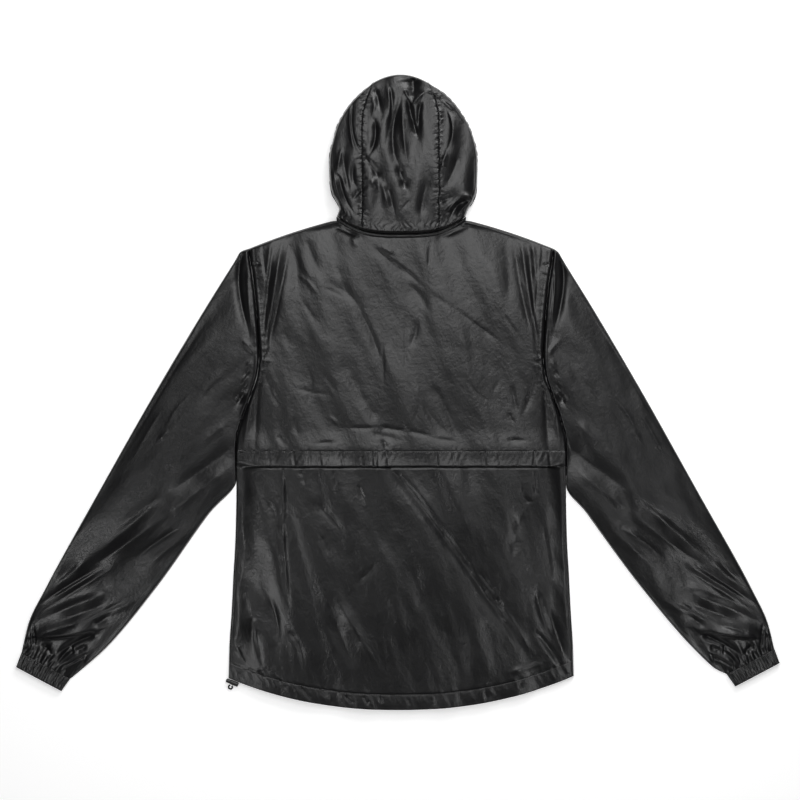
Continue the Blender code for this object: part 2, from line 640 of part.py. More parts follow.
def make_cuff(side, name):
    """An elastic cuff: a flattened ring, ribbed on its upper face and plain inside."""
    middle, half, across, down = CUFFS[side]
    turn = np.linspace(0, math.pi, 2 * CUFF_RIBS + 1)
    upper = -np.cos(turn)
    lower = np.linspace(1, -1, UNDER_STEPS)[1:-1]
    ribs = RIB_HEIGHT * (np.arange(turn.size) % 2)
    grids = []
    for shrink, relief in ((0.0, ribs), (CUFF_WALL, 0 * ribs)):
        half_height = CUFF_TOP / 2 - shrink
        crown = (half_height + relief) * np.sin(turn) ** CUFF_ROUNDING
        height = CUFF_TOP / 2 + np.append(crown, np.full(lower.size, -half_height))
        grid = []
        for step in (0.0, 0.5, 1.0):
            reach = half * (1 + step * (CUFF_SPREAD - 1)) - shrink
            centre = middle + down * (2 * SEAM + step * CUFF_DEPTH)
            plan = centre + reach * np.append(upper, lower)[:, None] * across
            grid.append(np.column_stack([plan, height]))
        grids.append(np.array(grid))
    wall("cuff_" + name, *grids, RIB, ring=True)


def make_neck_band():
    x = BODY_AXIS + (NECK_HALF - SEAM) * np.linspace(-1, 1, 29)[None, :]
    y = back_neck_y(x) + np.array([HALF_SEAM, SEAM + BAND_DEPTH])[:, None]
    upper_sheet("neck_band", x + 0 * y, y)


def hood_rises():
    """Shares of the way up a hood seam, closer together where it turns over the crown."""
    return CROWN_TURN * np.sin(np.linspace(0, 1, HOOD_ROWS) * math.pi / 2)


def shell_of(name, tops, unders, folded):
    """Joins an upper and an under grid of plan points along the hood's rolled edge.

    Each grid is (x, y); the last entry of the upper one and the first of the under one lie
    on the same folded edge, where the inner wall steps back towards the hood's middle.
    """
    parts = []
    for (x, y), height, up in ((tops, top_height, 1), (unders, under_height, -1)):
        outer = np.stack([x, y, height(x, y)], -1)
        inner = outer - WALL * facing(height, x, y, up)
        parts.append((outer, inner))
    axis = 1 if folded == "columns" else 0
    for (outer, inner), edge, inside in zip(parts, (-1, 0), (-2, 1)):
        pick = (slice(None), edge) if axis else (edge, slice(None))
        next_in = (slice(None), inside) if axis else (inside, slice(None))
        inward = (outer[next_in] - outer[pick])[..., :2]
        inward /= np.linalg.norm(inward, axis=-1, keepdims=True)
        inner[pick + (slice(0, 2),)] = outer[pick][..., :2] + WALL * inward
        inner[pick + (2,)] = outer[pick][..., 2] + (-WALL if edge else WALL)
    outer = np.concatenate([parts[0][0], parts[1][0]], axis)
    inner = np.concatenate([parts[0][1], parts[1][1]], axis)
    wall(name, outer, inner, CLOTH)


def make_hood_centre():
    """The middle panel: up from the neck, over the crown, and under to the forehead edge."""
    across = np.linspace(-1, 1, 2 * HOOD_GATHERS + 1)[None, :]
    base = hood_base_y(HOOD_AXIS + across * HOOD_SEAM_HALF)
    rise = np.append(hood_rises(), 1)[:, None]
    y = base + rise * (crown_y(HOOD_AXIS + across * CROWN_SEAM_HALF) - base)
    side_y = np.where(across < 0, y[:, :1], y[:, -1:])
    x = HOOD_AXIS + across * (hood_seam_x(1, side_y) - HOOD_AXIS - HALF_SEAM)
    under = np.array(UNDER_SHARES)[:, None]
    rim_y = RIM_SIDE_Y + (RIM_TOP_Y - RIM_SIDE_Y) * (1 - across ** 2)
    edge = CROWN_SEAM_HALF - HALF_SEAM
    under_x = HOOD_AXIS + across * (edge + under * (RIM_SEAM_HALF - CROWN_SEAM_HALF))
    under_y = y[-1:] + under * (rim_y - y[-1:])
    shell_of("hood_center", (x, y), (under_x, under_y), "rows")


def make_hood_side(side, name):
    """A side panel: out from the seam, round the edge, and under to the face opening."""
    rise = hood_rises()[:, None]
    base = hood_base_y(HOOD_AXIS + side * HOOD_SEAM_HALF)
    seam_y = base + rise * (CROWN_SIDE_Y - base)
    seam_x = hood_seam_x(side, seam_y) + side * HALF_SEAM
    edge_x, edge_y = hood_edge(side, rise / CROWN_TURN)
    edge_x = edge_x + side * HALF_SEAM * rise
    edge_x[-1] += side * LAST_ROW_EASE
    out = np.sin(np.linspace(0, 1, 7) * math.pi / 2)[None, :]
    x = seam_x + out * (edge_x - seam_x)
    y = seam_y + out * (edge_y - seam_y)
    x[-1, 1:-1] = hood_seam_x(side, y[-1, 1:-1]) + side * (HALF_SEAM + LAST_ROW_EASE)
    y = y + (1 - rise) ** 2 * (1 - out ** 4) * (hood_base_y(x[:1]) - y[:1])
    rim = [(HOOD_AXIS + side * row[0], row[1]) for row in RIM_SECTIONS]
    rim_x, rim_y = along(rim, rise / CROWN_TURN)
    rim_x = rim_x + side * HALF_SEAM * rise
    under = np.array(UNDER_SHARES)[None, :]
    under_x = edge_x + under * (rim_x - edge_x)
    under_y = edge_y + under * (rim_y - edge_y)
    neck = (1 - rise) ** 2 * np.clip(under * 3, 0, 1)
    under_y = under_y + neck * (front_neck_y(under_x) + HALF_SEAM - under_y)
    shell_of("hood_" + name, (x, y), (under_x, under_y), "columns")


def box(name, low, high):
    """A closed box between two corners, as a mesh in world space."""
    bm = bmesh.new()
    bmesh.ops.create_cube(bm, size=1.0)
    size = [b - a for a, b in zip(low, high)]
    middle = [(a + b) / 2 for a, b in zip(low, high)]
    bmesh.ops.scale(bm, verts=bm.verts, vec=size)
    bmesh.ops.translate(bm, verts=bm.verts, vec=middle)
    mesh = bpy.data.meshes.new(name)
    bm.to_mesh(mesh)
    bm.free()
    return mesh


def helper(name, low, high):
    """A box that only shapes another piece."""
    made = bpy.data.objects.new(name, box(name, low, high))
    CUTTERS.objects.link(made)
    made.hide_render = True
    made.display_type = "WIRE"
    return made


def combine(target, other, operation):
    step = target.modifiers.new(operation.lower() + "_" + other.name, "BOOLEAN")
    step.operation = operation
    step.object = other


def make_slider():
    """Two plates on the zip's top end, the post between them and the bail for the tab."""
    wide, long, thick = SLIDER_SIZE
    x0, x1 = BODY_AXIS - wide / 2, BODY_AXIS + wide / 2
    y1 = ZIP_TOP_Y + SEAM + POST_SIZE[1]
    y0 = y1 - long
    under_top = SLIDER_LIFT - SEAM
    over_low = SLIDER_LIFT + WALL + CHAIN_RISE + SEAM
    slider = add_object("zip_slider", box("zip_slider", (x0, y0, under_top - thick),
                                          (x1, y1, under_top)), METAL)
    combine(slider, helper("slider_inner_plate", (x0, y0, over_low),
                           (x1, y1, over_low + thick)), "UNION")
    combine(slider, helper("slider_post",
                           (BODY_AXIS - POST_SIZE[0] / 2, y1 - POST_SIZE[1], under_top - thick / 2),
                           (BODY_AXIS + POST_SIZE[0] / 2, y1, over_low + thick / 2)), "UNION")
    low = TAB_AXIS_Z - TAB_THICK / 2 - SEAM - BAIL_THICK
    bail = helper("slider_bail",
                  (BODY_AXIS - BAIL_WIDTH / 2, SLIDER_Y - BAIL_SPAN / 2, low),
                  (BODY_AXIS + BAIL_WIDTH / 2, SLIDER_Y + BAIL_SPAN / 2, under_top - thick / 2))
    combine(bail, helper("bail_inside",
                         (BODY_AXIS - BAIL_WIDTH, SLIDER_Y - BAIL_SPAN / 2 + BAIL_THICK,
                          low + BAIL_THICK),
                         (BODY_AXIS + BAIL_WIDTH, SLIDER_Y + BAIL_SPAN / 2 - BAIL_THICK,
                          under_top)), "DIFFERENCE")
    combine(slider, bail, "UNION")


def make_pull_tab():
    """A flat tab that hangs on the slider's bail; it turns about its own crossbar."""
    hinge = bpy.data.objects.new("pull_tab_hinge", None)
    hinge.location = (BODY_AXIS, SLIDER_Y, TAB_AXIS_Z)
    JACKET.objects.link(hinge)
    wide, long = TAB_SIZE
    bar = TAB_THICK / 2
    tab = add_object("zip_pull_tab", box("zip_pull_tab", (-wide / 2, bar - long, -bar),
                                         (wide / 2, bar, bar)), METAL)
    tab.parent = hinge
    hole = helper("tab_hole", (-TAB_HOLE[0] / 2, -bar - TAB_HOLE[1], -TAB_THICK),
                  (TAB_HOLE[0] / 2, -bar, TAB_THICK))
    hole.parent = hinge
    combine(tab, hole, "DIFFERENCE")


def make_cord_lock():
    """The spring lock at the left end of the hem cord: a turned barrel with its button."""
    half = LOCK_LENGTH / 2
    step = LOCK_BUTTON - half
    profile = [(0, half), (LOCK_RADIUS - LOCK_BEVEL, half), (LOCK_RADIUS, half - LOCK_BEVEL),
               (LOCK_RADIUS, step + LOCK_BEVEL), (LOCK_BUTTON_RADIUS, step),
               (LOCK_BUTTON_RADIUS, LOCK_BEVEL - half),
               (LOCK_BUTTON_RADIUS - LOCK_BEVEL, -half), (0, -half)]
    mesh = bpy.data.meshes.new("hem_cord_lock")
    edges = [(i, i + 1) for i in range(len(profile) - 1)]
    mesh.from_pydata([(radius, 0, z) for radius, z in profile], edges, [])
    lock = add_object("hem_cord_lock", mesh, PLASTIC)
    turned = lock.modifiers.new("turned", "SCREW")
    turned.steps = turned.render_steps = LOCK_SIDES
    turned.use_merge_vertices = True
    turned.merge_threshold = 0.00005
    turned.use_smooth_shade = False
    lock.location = (*LOCK_CENTRE, LOCK_RADIUS)
    lock.rotation_euler = (0, math.pi / 2, LOCK_TURN)


def make_cord_loop():
    """The end of the hem cord: it leaves the lock, turns back in a small loop."""
    downward = np.array([math.sin(LOCK_TURN), -math.cos(LOCK_TURN)])
    sideways = np.array([downward[1], -downward[0]])
    centre = np.array(LOCK_CENTRE) + downward * LOOP_DROP
    turns = np.radians(np.linspace(-LOOP_OPENING, LOOP_OPENING, 15))
    ring = [centre + LOOP_RADIUS * (math.cos(t) * downward + math.sin(t) * sideways)
            for t in turns]
    curve_data = bpy.data.curves.new("hem_cord_loop", "CURVE")
    curve_data.dimensions = "3D"
    curve_data.bevel_depth = CORD_RADIUS
    curve_data.bevel_resolution = 2
    curve_data.use_fill_caps = True
    spline = curve_data.splines.new("POLY")
    spline.points.add(len(ring) - 1)
    for point, place in zip(spline.points, ring):
        point.co = (*place, CORD_RADIUS + SEAM, 1.0)
    curve_data.materials.append(material(TAPE))
    loop = bpy.data.objects.new("hem_cord_loop", curve_data)
    JACKET.objects.link(loop)


# ================================================================ build
for old in list(bpy.data.objects):
    bpy.data.objects.remove(old)
JACKET = collection("windbreaker_jacket")
CUTTERS = collection("cutters")

make_upper_back()
make_cape_hem()
make_lower_back()
make_back_hem()
for hand, label in ((-1, "left"), (1, "right")):
    make_front(hand, label)
    make_zip_side(hand, label)
    make_sleeve(hand, label)
    make_cuff(hand, label)
    make_hood_side(hand, label)
make_neck_band()
make_hood_centre()
make_slider()
make_pull_tab()
make_cord_lock()
make_cord_loop()
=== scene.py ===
"""Looks of a hooded windbreaker jacket of thin glossy nylon, laid out flat with its back up.

Each cloth piece is a grid of points over the garment's plan. One height function gives
the plan its puffed shape, its folds and its seams, so that neighbouring pieces meet.
"""
# %% [markdown]
# # A windbreaker, laid flat
# The real jacket is cut from thin black nylon, sewn from about sixteen pieces, and laid
# on its front. This script loads the solid model as a fixed frame, and makes every cloth
# piece again as a thin shell with its creases, seams and gathers.

# %% Load the frame
import math

import bpy
import numpy as np
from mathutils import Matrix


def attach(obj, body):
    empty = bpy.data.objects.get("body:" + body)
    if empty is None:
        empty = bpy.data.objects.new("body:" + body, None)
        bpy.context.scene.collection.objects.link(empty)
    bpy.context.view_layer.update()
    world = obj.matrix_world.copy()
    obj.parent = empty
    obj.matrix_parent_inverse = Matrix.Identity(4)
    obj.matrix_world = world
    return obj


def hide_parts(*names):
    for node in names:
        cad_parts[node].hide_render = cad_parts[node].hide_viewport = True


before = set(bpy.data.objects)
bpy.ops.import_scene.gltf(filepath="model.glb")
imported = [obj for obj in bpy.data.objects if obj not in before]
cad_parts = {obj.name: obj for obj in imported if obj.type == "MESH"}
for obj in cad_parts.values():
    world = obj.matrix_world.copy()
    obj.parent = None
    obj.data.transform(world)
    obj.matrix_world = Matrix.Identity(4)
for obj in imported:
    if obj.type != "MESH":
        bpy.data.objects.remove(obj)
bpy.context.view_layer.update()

# %% [markdown]
# ## Camera and light
# The garment is looked at from straight above with a long lens, so that its outline isn't
# bent. One big softbox hangs over the hood and shoulders. Level cloth mirrors it, so the
# upper back is light, the hem is darker, and every fold that tilts away turns black.

# %% Camera
LENS_MM, SENSOR_MM = 150, 36
VIEW_WIDTH = 1.190          # metres of floor from side to side of the view
LOOKS_AT = 0.0032, -0.0107  # the point straight below the camera
camera = bpy.data.objects.new("camera", bpy.data.cameras.new("camera"))
camera.data.lens, camera.data.sensor_width = LENS_MM, SENSOR_MM
camera.data.clip_end = 50
camera.location = (*LOOKS_AT, VIEW_WIDTH * LENS_MM / SENSOR_MM)
bpy.context.scene.collection.objects.link(camera)
bpy.context.scene.camera = camera
print("camera height", round(camera.location.z, 3))


# %% Light
def softbox(name, place, size, power):
    """A rectangular lamp that faces the middle of the garment."""
    lamp = bpy.data.lights.new(name, "AREA")
    lamp.shape, lamp.size, lamp.size_y, lamp.energy = "RECTANGLE", *size, power
    holder = bpy.data.objects.new(name, lamp)
    holder.location = place
    x, y, z = place
    holder.rotation_euler = (math.atan2(math.hypot(x, y), z), 0, math.atan2(y, x) + math.pi / 2)
    bpy.context.scene.collection.objects.link(holder)


# columns: name, place in metres, width and length, power in watts
SOFTBOXES = (
    ("softbox_overhead", (0.03, 0.56, 1.6), (0.9, 0.8), 10),
    ("softbox_beyond_hood", (0.6, 1.5, 1.3), (1.0, 0.6), 19),
    ("softbox_before_hem", (0.0, -2.6, 0.9), (1.8, 0.5), 3),
    ("softbox_left", (-0.66, -0.50, 1.0), (0.2, 0.45), 2.5),
    ("softbox_right", (0.66, -0.50, 1.0), (0.2, 0.45), 2.3),
)
SURROUND = 0.04             # strength of the faint light from all round
for row in SOFTBOXES:
    softbox(*row)
world = bpy.data.worlds.new("surround")
world.use_nodes = True
background = world.node_tree.nodes["Background"].inputs
background["Color"].default_value = (1, 1, 1, 1)
background["Strength"].default_value = SURROUND
bpy.context.scene.world = world
bpy.context.scene.view_settings.view_transform = "Standard"

# %% [markdown]
# ## Shader arithmetic
# A material is a graph of nodes. The small class below lets the graph be written as plain
# sums, and one function adds any other kind of node.

# %% Shader arithmetic
class Wire:
    """One output in a node tree. Sums and products of wires add Math nodes."""

    def __init__(self, tree, output):
        self.tree, self.output = tree, output

    def math(self, operation, *others, clamp=False):
        """The result of a Math node on this wire and other wires or numbers."""
        made = self.tree.nodes.new("ShaderNodeMath")
        made.operation, made.use_clamp = operation, clamp
        for slot, value in zip(made.inputs, (self, *others)):
            join(self.tree, slot, value)
        return Wire(self.tree, made.outputs[0])

    def __add__(self, other):
        return self.math("ADD", other)

    def __sub__(self, other):
        return self.math("SUBTRACT", other)

    def __mul__(self, other):
        return self.math("MULTIPLY", other)


def join(tree, slot, value):
    """Sets a socket to a value, or links a wire to it."""
    if isinstance(value, Wire):
        tree.links.new(value.output, slot)
    else:
        slot.default_value = value


class Finish:
    """A material under construction, and its Principled shader."""

    def __init__(self, name, **constants):
        self.material = bpy.data.materials.new(name)
        self.material.use_nodes = True
        self.tree = self.material.node_tree
        self.shader = self.tree.nodes["Principled BSDF"]
        self.set(**constants)
        self.place = self.node("ShaderNodeTexCoord", output="Object")

    def set(self, **inputs):
        """Inputs of the shader; an underscore stands for a space."""
        for name, value in inputs.items():
            join(self.tree, self.shader.inputs[name.replace("_", " ")], value)

    def node(self, kind, output=0, **inputs):
        """Any other kind of node, with its inputs set or linked."""
        made = self.tree.nodes.new(kind)
        for name, value in inputs.items():
            join(self.tree, made.inputs[name.replace("_", " ")], value)
        return Wire(self.tree, made.outputs[output])

    def noise(self, length, detail=2.0, roughness=0.5, place=None):
        """Noise from 0 to 1 whose blobs are about this many metres long."""
        return self.node("ShaderNodeTexNoise", Vector=place or self.place, Scale=1 / length,
                         Detail=detail, Roughness=roughness)

    def axes(self):
        """x, y and z of the place in metres."""
        split = self.tree.nodes.new("ShaderNodeSeparateXYZ")
        join(self.tree, split.inputs[0], self.place)
        return [Wire(self.tree, out) for out in split.outputs]

    def colour(self, amount, dark, light):
        """A colour that goes from dark to light as amount goes from 0 to 1."""
        mix = self.tree.nodes.new("ShaderNodeMix")
        mix.data_type = "RGBA"
        join(self.tree, mix.inputs[0], amount)
        mix.inputs[6].default_value, mix.inputs[7].default_value = (*dark, 1), (*light, 1)
        return Wire(self.tree, mix.outputs[2])

    def bump(self, height, depth, strength=1.0, under=None):
        """Height from 0 to 1 as a relief this many metres deep."""
        more = {"Normal": under} if under else {}
        return self.node("ShaderNodeBump", Height=height, Distance=depth, Strength=strength,
                         **more)


def turned(x, y, lean):
    """x and y measured across and along a line that leans this far from straight up."""
    return x * math.cos(lean) + y * math.sin(lean), y * math.cos(lean) - x * math.sin(lean)


print("shader helpers ready")

# %% [markdown]
# ## Finishes
# The nylon is a calendered plain weave: black yarn, a smooth face that reflects like
# plastic, and a skin of tiny crinkles where the thin cloth never lies quite still. Noise at
# three lengths makes those crinkles, and the gloss wanders a little from place to place.

# %% Nylon
WEAVE = 7000                # radians a metre: one wave of the weave is 0.9 mm long
PUCKER_REACH = 0.0048       # puckers spread this far on both sides of a seam


def nylon(name, gloss=0.0, crinkle=1.0, lean=0.15, seams=None, ribs=0.0):
    """Thin coated cloth, its relief in metres. Gloss takes roughness away, crinkle deepens
    the small relief, and the cloth's long fine lines lean this far (in radians) from
    straight up. Seams are an axis and a distance from it: small puckers cross both lines.
    Ribs this deep run down."""
    made = Finish(name, Specular_IOR_Level=0.5)
    soft, fine = made.noise(0.030, 3.0), made.noise(0.0045, 3.0, 0.6)
    made.set(Base_Color=made.colour(soft, (0.0030, 0.0030, 0.0034), (0.0052, 0.0052, 0.0058)))
    made.set(Roughness=soft * 0.10 + fine * 0.06 + (0.27 - gloss))
    x, y, _ = made.axes()
    weave = (x * WEAVE).math("SINE") * (y * WEAVE).math("SINE")
    ground = made.bump(weave, 0.00002, 0.35)
    small = made.bump(fine, 0.00026 * crinkle, 0.9, ground)
    if seams:
        off = ((x - seams[0]).math("ABSOLUTE") - seams[1]) * (1 / PUCKER_REACH)
        near = (off * off * -1).math("EXPONENT") * (y * -40 + 18.4).math("ADD", 0, clamp=True)
        rows = made.node("ShaderNodeCombineXYZ", X=x * 0.4, Y=y, Z=x.math("SIGN") * 0.1)
        small = made.bump((made.noise(0.0060, 2.0, 0.5, rows) - 0.5) * near, 0.0034, 1.0, small)
    across, down = turned(x, y, lean)
    if ribs:
        lines = made.node("ShaderNodeCombineXYZ", X=across, Y=down * 0.09)
        small = made.bump(made.noise(0.0034, 2.0, 0.6, lines), ribs, 1.0, small)
    hang = made.node("ShaderNodeCombineXYZ", X=across * 3.5, Y=down)
    drape = made.bump(made.noise(0.060, 4.0, 0.6, hang), 0.0010 * crinkle, 0.7, small)
    made.set(Normal=made.bump(made.noise(0.016, 3.0, 0.6), 0.0008 * crinkle, 0.7, drape))
    return made.material


SIDES = (-1, "left"), (1, "right")
NYLON = nylon("black_nylon", lean=0.45)
HEM_NYLON = nylon("black_nylon_doubled", gloss=-0.02, crinkle=1.3)
SLEEVE_NYLON = {side: nylon(f"black_nylon_{word}_sleeve", 0.0, 0.8, side * 0.65)
                for side, word in SIDES}
print("nylons", [m.name for m in (NYLON, HEM_NYLON, *SLEEVE_NYLON.values())])


# %% Trim finishes
def woven_tape():
    """Polyester zip tape: fine ribs along the zip and a dull face."""
    made = Finish("woven_black_tape", Specular_IOR_Level=0.3)
    ribs = (made.axes()[0] * 5200).math("SINE") * 0.5 + 0.5
    made.set(Base_Color=made.colour(ribs, (0.008, 0.008, 0.009), (0.016, 0.016, 0.018)))
    made.set(Roughness=made.noise(0.002) * 0.15 + 0.62)
    made.set(Normal=made.bump(ribs, 0.00012))
    return made.material


def moulded(name, light, rough, grain):
    """Moulded plastic or coil: an even colour with a faint eggshell grain."""
    made = Finish(name, Specular_IOR_Level=0.5)
    speck = made.noise(grain, 2.0)
    made.set(Base_Color=made.colour(speck, (light * 0.8,) * 3, (light * 1.2,) * 3))
    made.set(Roughness=speck * 0.12 + rough, Normal=made.bump(speck, 0.00004))
    return made.material


def enamel():
    """Black enamel on a die-cast slider, worn to a slightly brighter metal in places."""
    made = Finish("black_enamelled_metal", Specular_IOR_Level=0.6, Coat_Roughness=0.15)
    worn = made.noise(0.0030, 4.0, 0.65)
    made.set(Base_Color=made.colour(worn, (0.030, 0.030, 0.033), (0.085, 0.085, 0.090)))
    made.set(Metallic=0.9, Roughness=worn * 0.25 + 0.22, Coat_Weight=0.3)
    made.set(Normal=made.bump(made.noise(0.0006), 0.00003))
    return made.material


def braid():
    """Braided elastic cord: crossing strands, dull and slightly fuzzy."""
    made = Finish("braided_black_cord", Specular_IOR_Level=0.3, Sheen_Weight=0.3)
    x, y, _ = made.axes()
    strands = ((x + y) * 4200).math("SINE") * ((x - y) * 4200).math("SINE") * 0.5 + 0.5
    made.set(Base_Color=made.colour(strands, (0.006, 0.006, 0.007), (0.018, 0.018, 0.020)))
    made.set(Roughness=made.noise(0.0015) * 0.2 + 0.6, Normal=made.bump(strands, 0.00022))
    return made.material


TAPE, METAL, CORD = woven_tape(), enamel(), braid()
PLASTIC = moulded("moulded_black_plastic", 0.011, 0.30, 0.0007)
COIL = moulded("black_coil_teeth", 0.014, 0.38, 0.0010)
THREAD = moulded("black_sewing_thread", 0.006, 0.60, 0.0004)
print("finishes", [m.name for m in (TAPE, METAL, CORD, PLASTIC, COIL, THREAD)])

# %% [markdown]
# ## The plan
# These measures and curves are the solid model's own: where the back, sleeves, cuffs and
# hood lie on the surface, in metres from the middle of the jacket.

# %% Measures
SHELL = 0.0006              # thickness of the shown cloth
SLIDER_Y = 0.2015
SLIDER_LIFT = 0.0046        # the fronts lie this much higher over the zip's slider,
LIFT_FLAT, LIFT_REACH = 0.026, 0.055    # level within the first, and down again by the second
SLIDER_SHOWS = 0.05         # the back rises this share of it as well
ZIP_HALF, ZIP_TOP_Y = 0.0080, 0.2050
FRONT_HEM_DROP = 0.026      # the front hem is this much lower at its centre
SLEEVE_GATHERS = 7          # waves across one face of the sleeve where the cuff gathers it
EDGE_TOP = 0.0027           # top of a folded edge
SEAM = 0.0003               # gap between two pieces at a seam
BODY_AXIS = 0.005           # x of the centre back
SHOULDER_HALF = 0.226       # centre back to shoulder point
SHOULDER_Y = 0.2145
NECK_HALF = 0.096           # centre back to the side of the neck
NECK_SIDE_Y = 0.256
BACK_NECK_Y = 0.231         # lowest point of the back neck
FRONT_NECK_Y = 0.207        # lowest point of the front neck
SHOULDER_ARCH = 0.0025      # the shoulder line bows up by this much
UNDERARM_Y = -0.040
CAPE_STITCH_Y = -0.087      # the cape is stitched down here
CAPE_EDGE_Y = -0.109        # and its free hem ends here
TUCK_TOP_Y = -0.090         # the lower back starts here, under the cape
HEM_SIDE_Y = -0.422
BACK_HEM_DROP = 0.049       # the back hem is this much lower at its centre
HEM_DEPTH = 0.023           # depth of the drawcord casing
HEM_HALF = 0.252
HEM_AXIS = 0.001            # the hem's lowest point lies a little left of the centre back
HEM_POWER = 2.2             # its curve is flatter than a circle's

# columns: level y, half width of the body there
BODY_SECTIONS = (
    (-0.430, 0.2570), (-0.377, 0.2555), (-0.323, 0.2520), (-0.270, 0.2495),
    (-0.216, 0.2465), (-0.130, 0.2450), (-0.087, 0.2460), (-0.066, 0.2440),
    (-0.037, 0.2360), (-0.005, 0.2240), (0.031, 0.2130), (0.053, 0.2110),
    (0.108, 0.2140), (0.168, 0.2200), (0.214, 0.2260), (0.260, 0.2260),
)

# columns: share of the way from shoulder to cuff, then how far the outer edge is out from
# the centre back and its y, and the same for the inner (underarm) edge. The right arm lies
# a little closer in than the left (-1 is the left side, 1 the right).
SLEEVE_SECTIONS = {
    -1: (
        (0.00, 0.2264, 0.2145, 0.2368, -0.0400), (0.03, 0.2385, 0.2095, 0.2440, -0.0640),
        (0.07, 0.2480, 0.1950, 0.2456, -0.0870), (0.20, 0.2930, 0.1230, 0.2448, -0.1280),
        (0.38, 0.3675, -0.0020, 0.2870, -0.1815), (0.59, 0.4485, -0.1450, 0.3630, -0.2880),
        (0.80, 0.5270, -0.2870, 0.4375, -0.3780), (0.91, 0.5540, -0.3420, 0.4765, -0.4125),
        (1.00, 0.5645, -0.3865, 0.4920, -0.4250),
    ),
    1: (
        (0.00, 0.2264, 0.2145, 0.2368, -0.0400), (0.03, 0.2330, 0.2095, 0.2440, -0.0640),
        (0.07, 0.2420, 0.1950, 0.2456, -0.0870), (0.20, 0.2865, 0.1230, 0.2450, -0.1350),
        (0.38, 0.3600, -0.0020, 0.2775, -0.1815), (0.59, 0.4400, -0.1450, 0.3560, -0.2880),
        (0.80, 0.5190, -0.2870, 0.4325, -0.3780), (0.91, 0.5450, -0.3420, 0.4685, -0.4110),
        (1.00, 0.5545, -0.3805, 0.4835, -0.4180),
    ),
}
ARMHOLE_BLEND = 0.30        # the armhole's curve has faded out of the sleeve by this share
BESIDE_BODY = -0.0007       # the hanging sleeve's edge tucks just under the body's side,
BESIDE_SHARE = 0.03         # from this share on
BESIDE_Y = -0.139           # and down to this level
CUFF_DEPTH = 0.0215
CUFF_SPREAD = 0.93          # width of the cuff's mouth over its seam's
CUFF_TOP = 0.0085

HOOD_AXIS = 0.004
BAND_DEPTH = 0.005          # the neck band, between back and hood
HOOD_SEAM_HALF = 0.057      # half width of the centre panel
CROWN_SEAM_HALF = 0.0405    # and where it turns over the crown
SEAM_BENDS_Y = 0.400        # above this level the two seams draw together
CROWN_SIDE_Y = 0.460
CROWN_TOP_Y = 0.472
CROWN_TURN = 0.95           # past this share the seam runs along the side panel's last row
LAST_ROW_EASE = 0.0005      # that row stands back a little more, over the tight turn
RIM_TOP_Y = 0.427           # forehead edge of the face opening, on the underside
RIM_SIDE_Y = 0.418
RIM_SEAM_HALF = 0.034       # half width of the middle panel there

# columns: y, left edge x, right edge x of the hood seen from above
HOOD_OUTLINE = (
    (0.2618, -0.0905, 0.1005), (0.272, -0.0870, 0.1045), (0.282, -0.0905, 0.1110),
    (0.295, -0.0980, 0.1160), (0.318, -0.1015, 0.1180), (0.352, -0.1015, 0.1180),
    (0.376, -0.0960, 0.1130), (0.400, -0.0885, 0.1035), (0.424, -0.0740, 0.0880),
    (0.443, -0.0570, 0.0700), (0.460, -0.0365, 0.0445),
)
# columns: distance from the hood's axis and y of the face opening's edge
RIM_SECTIONS = (
    (0.0050, 0.2087), (0.0330, 0.2360), (0.0500, 0.2800), (0.0560, 0.3300),
    (0.0510, 0.3800), (0.0340, 0.4180),
)

CLOTH_PUFF = 0.0085         # the upper layer stands this much above its folded edges
HOOD_PUFF = 0.020           # the hood stands higher
HOOD_EDGE = 0.006           # the hood's sides roll round at this height
ROLL_LEVELS = (0.238, 0.254)    # over these levels the flat folded edge becomes a rolled one
ROLL_REACH = 0.015          # and the roll is this wide
CUFF_GATHER_RISE = 0.0008   # height of the waves above the cuff
CUFF_REACH = 0.050          # the sleeve narrows in height over this much before the cuff
BLOUSE_RISE = 0.002         # and its spare cloth stands up in a roll
BLOUSE_BACK = 0.016         # this far back from the cuff
BLOUSE_WIDTH = 0.012
ARMS_FROM = 0.3             # only sleeves lie further out than this
CAPE_RISE = 0.0021          # the cape's hem lies on the lower back
CAPE_RISE_REACH = 0.035     # and starts to climb this far above its stitch line
print("sections of the body", len(BODY_SECTIONS), "and of a sleeve", len(SLEEVE_SECTIONS[1]))


# %% Curves and blends
def spread(count, low=-1.0, high=1.0):
    """Even steps from low to high."""
    return np.linspace(low, high, count)


def smooth(value, low, high):
    """0 below low, 1 above high, and a smooth step between them."""
    t = np.clip((value - low) / (high - low), 0, 1)
    return t * t * (3 - 2 * t)


def rounded(t):
    """A pillow's rise: quick at first, level once t reaches 1."""
    return 1 - (1 - np.clip(t, 0, 1)) ** 2


def curve(table, column, at):
    """A smooth curve through one column of a table, with no overshoot between its rows."""
    knots = np.array([row[0] for row in table])
    values = np.array([row[column] for row in table])
    steps = np.diff(knots)
    slopes = np.diff(values) / steps
    tangents = np.zeros(len(knots))
    level = slopes[:-1] * slopes[1:] > 0
    mean = 2 * slopes[:-1] * slopes[1:] / np.where(level, slopes[:-1] + slopes[1:], 1)
    tangents[1:-1] = np.where(level, mean, 0)
    tangents[0], tangents[-1] = slopes[0], slopes[-1]
    at = np.clip(at, knots[0], knots[-1])
    i = np.clip(np.searchsorted(knots, at, side="right") - 1, 0, len(steps) - 1)
    t = (at - knots[i]) / steps[i]
    h = steps[i]
    return ((1 + 2 * t) * (1 - t) ** 2 * values[i] + t * (1 - t) ** 2 * h * tangents[i]
            + t * t * (3 - 2 * t) * values[i + 1] - t * t * (1 - t) * h * tangents[i + 1])


def run_along(path):
    """Length of a line of straight steps up to each of its points."""
    return np.concatenate([[0], np.cumsum(np.hypot(*np.diff(path, axis=0).T))])


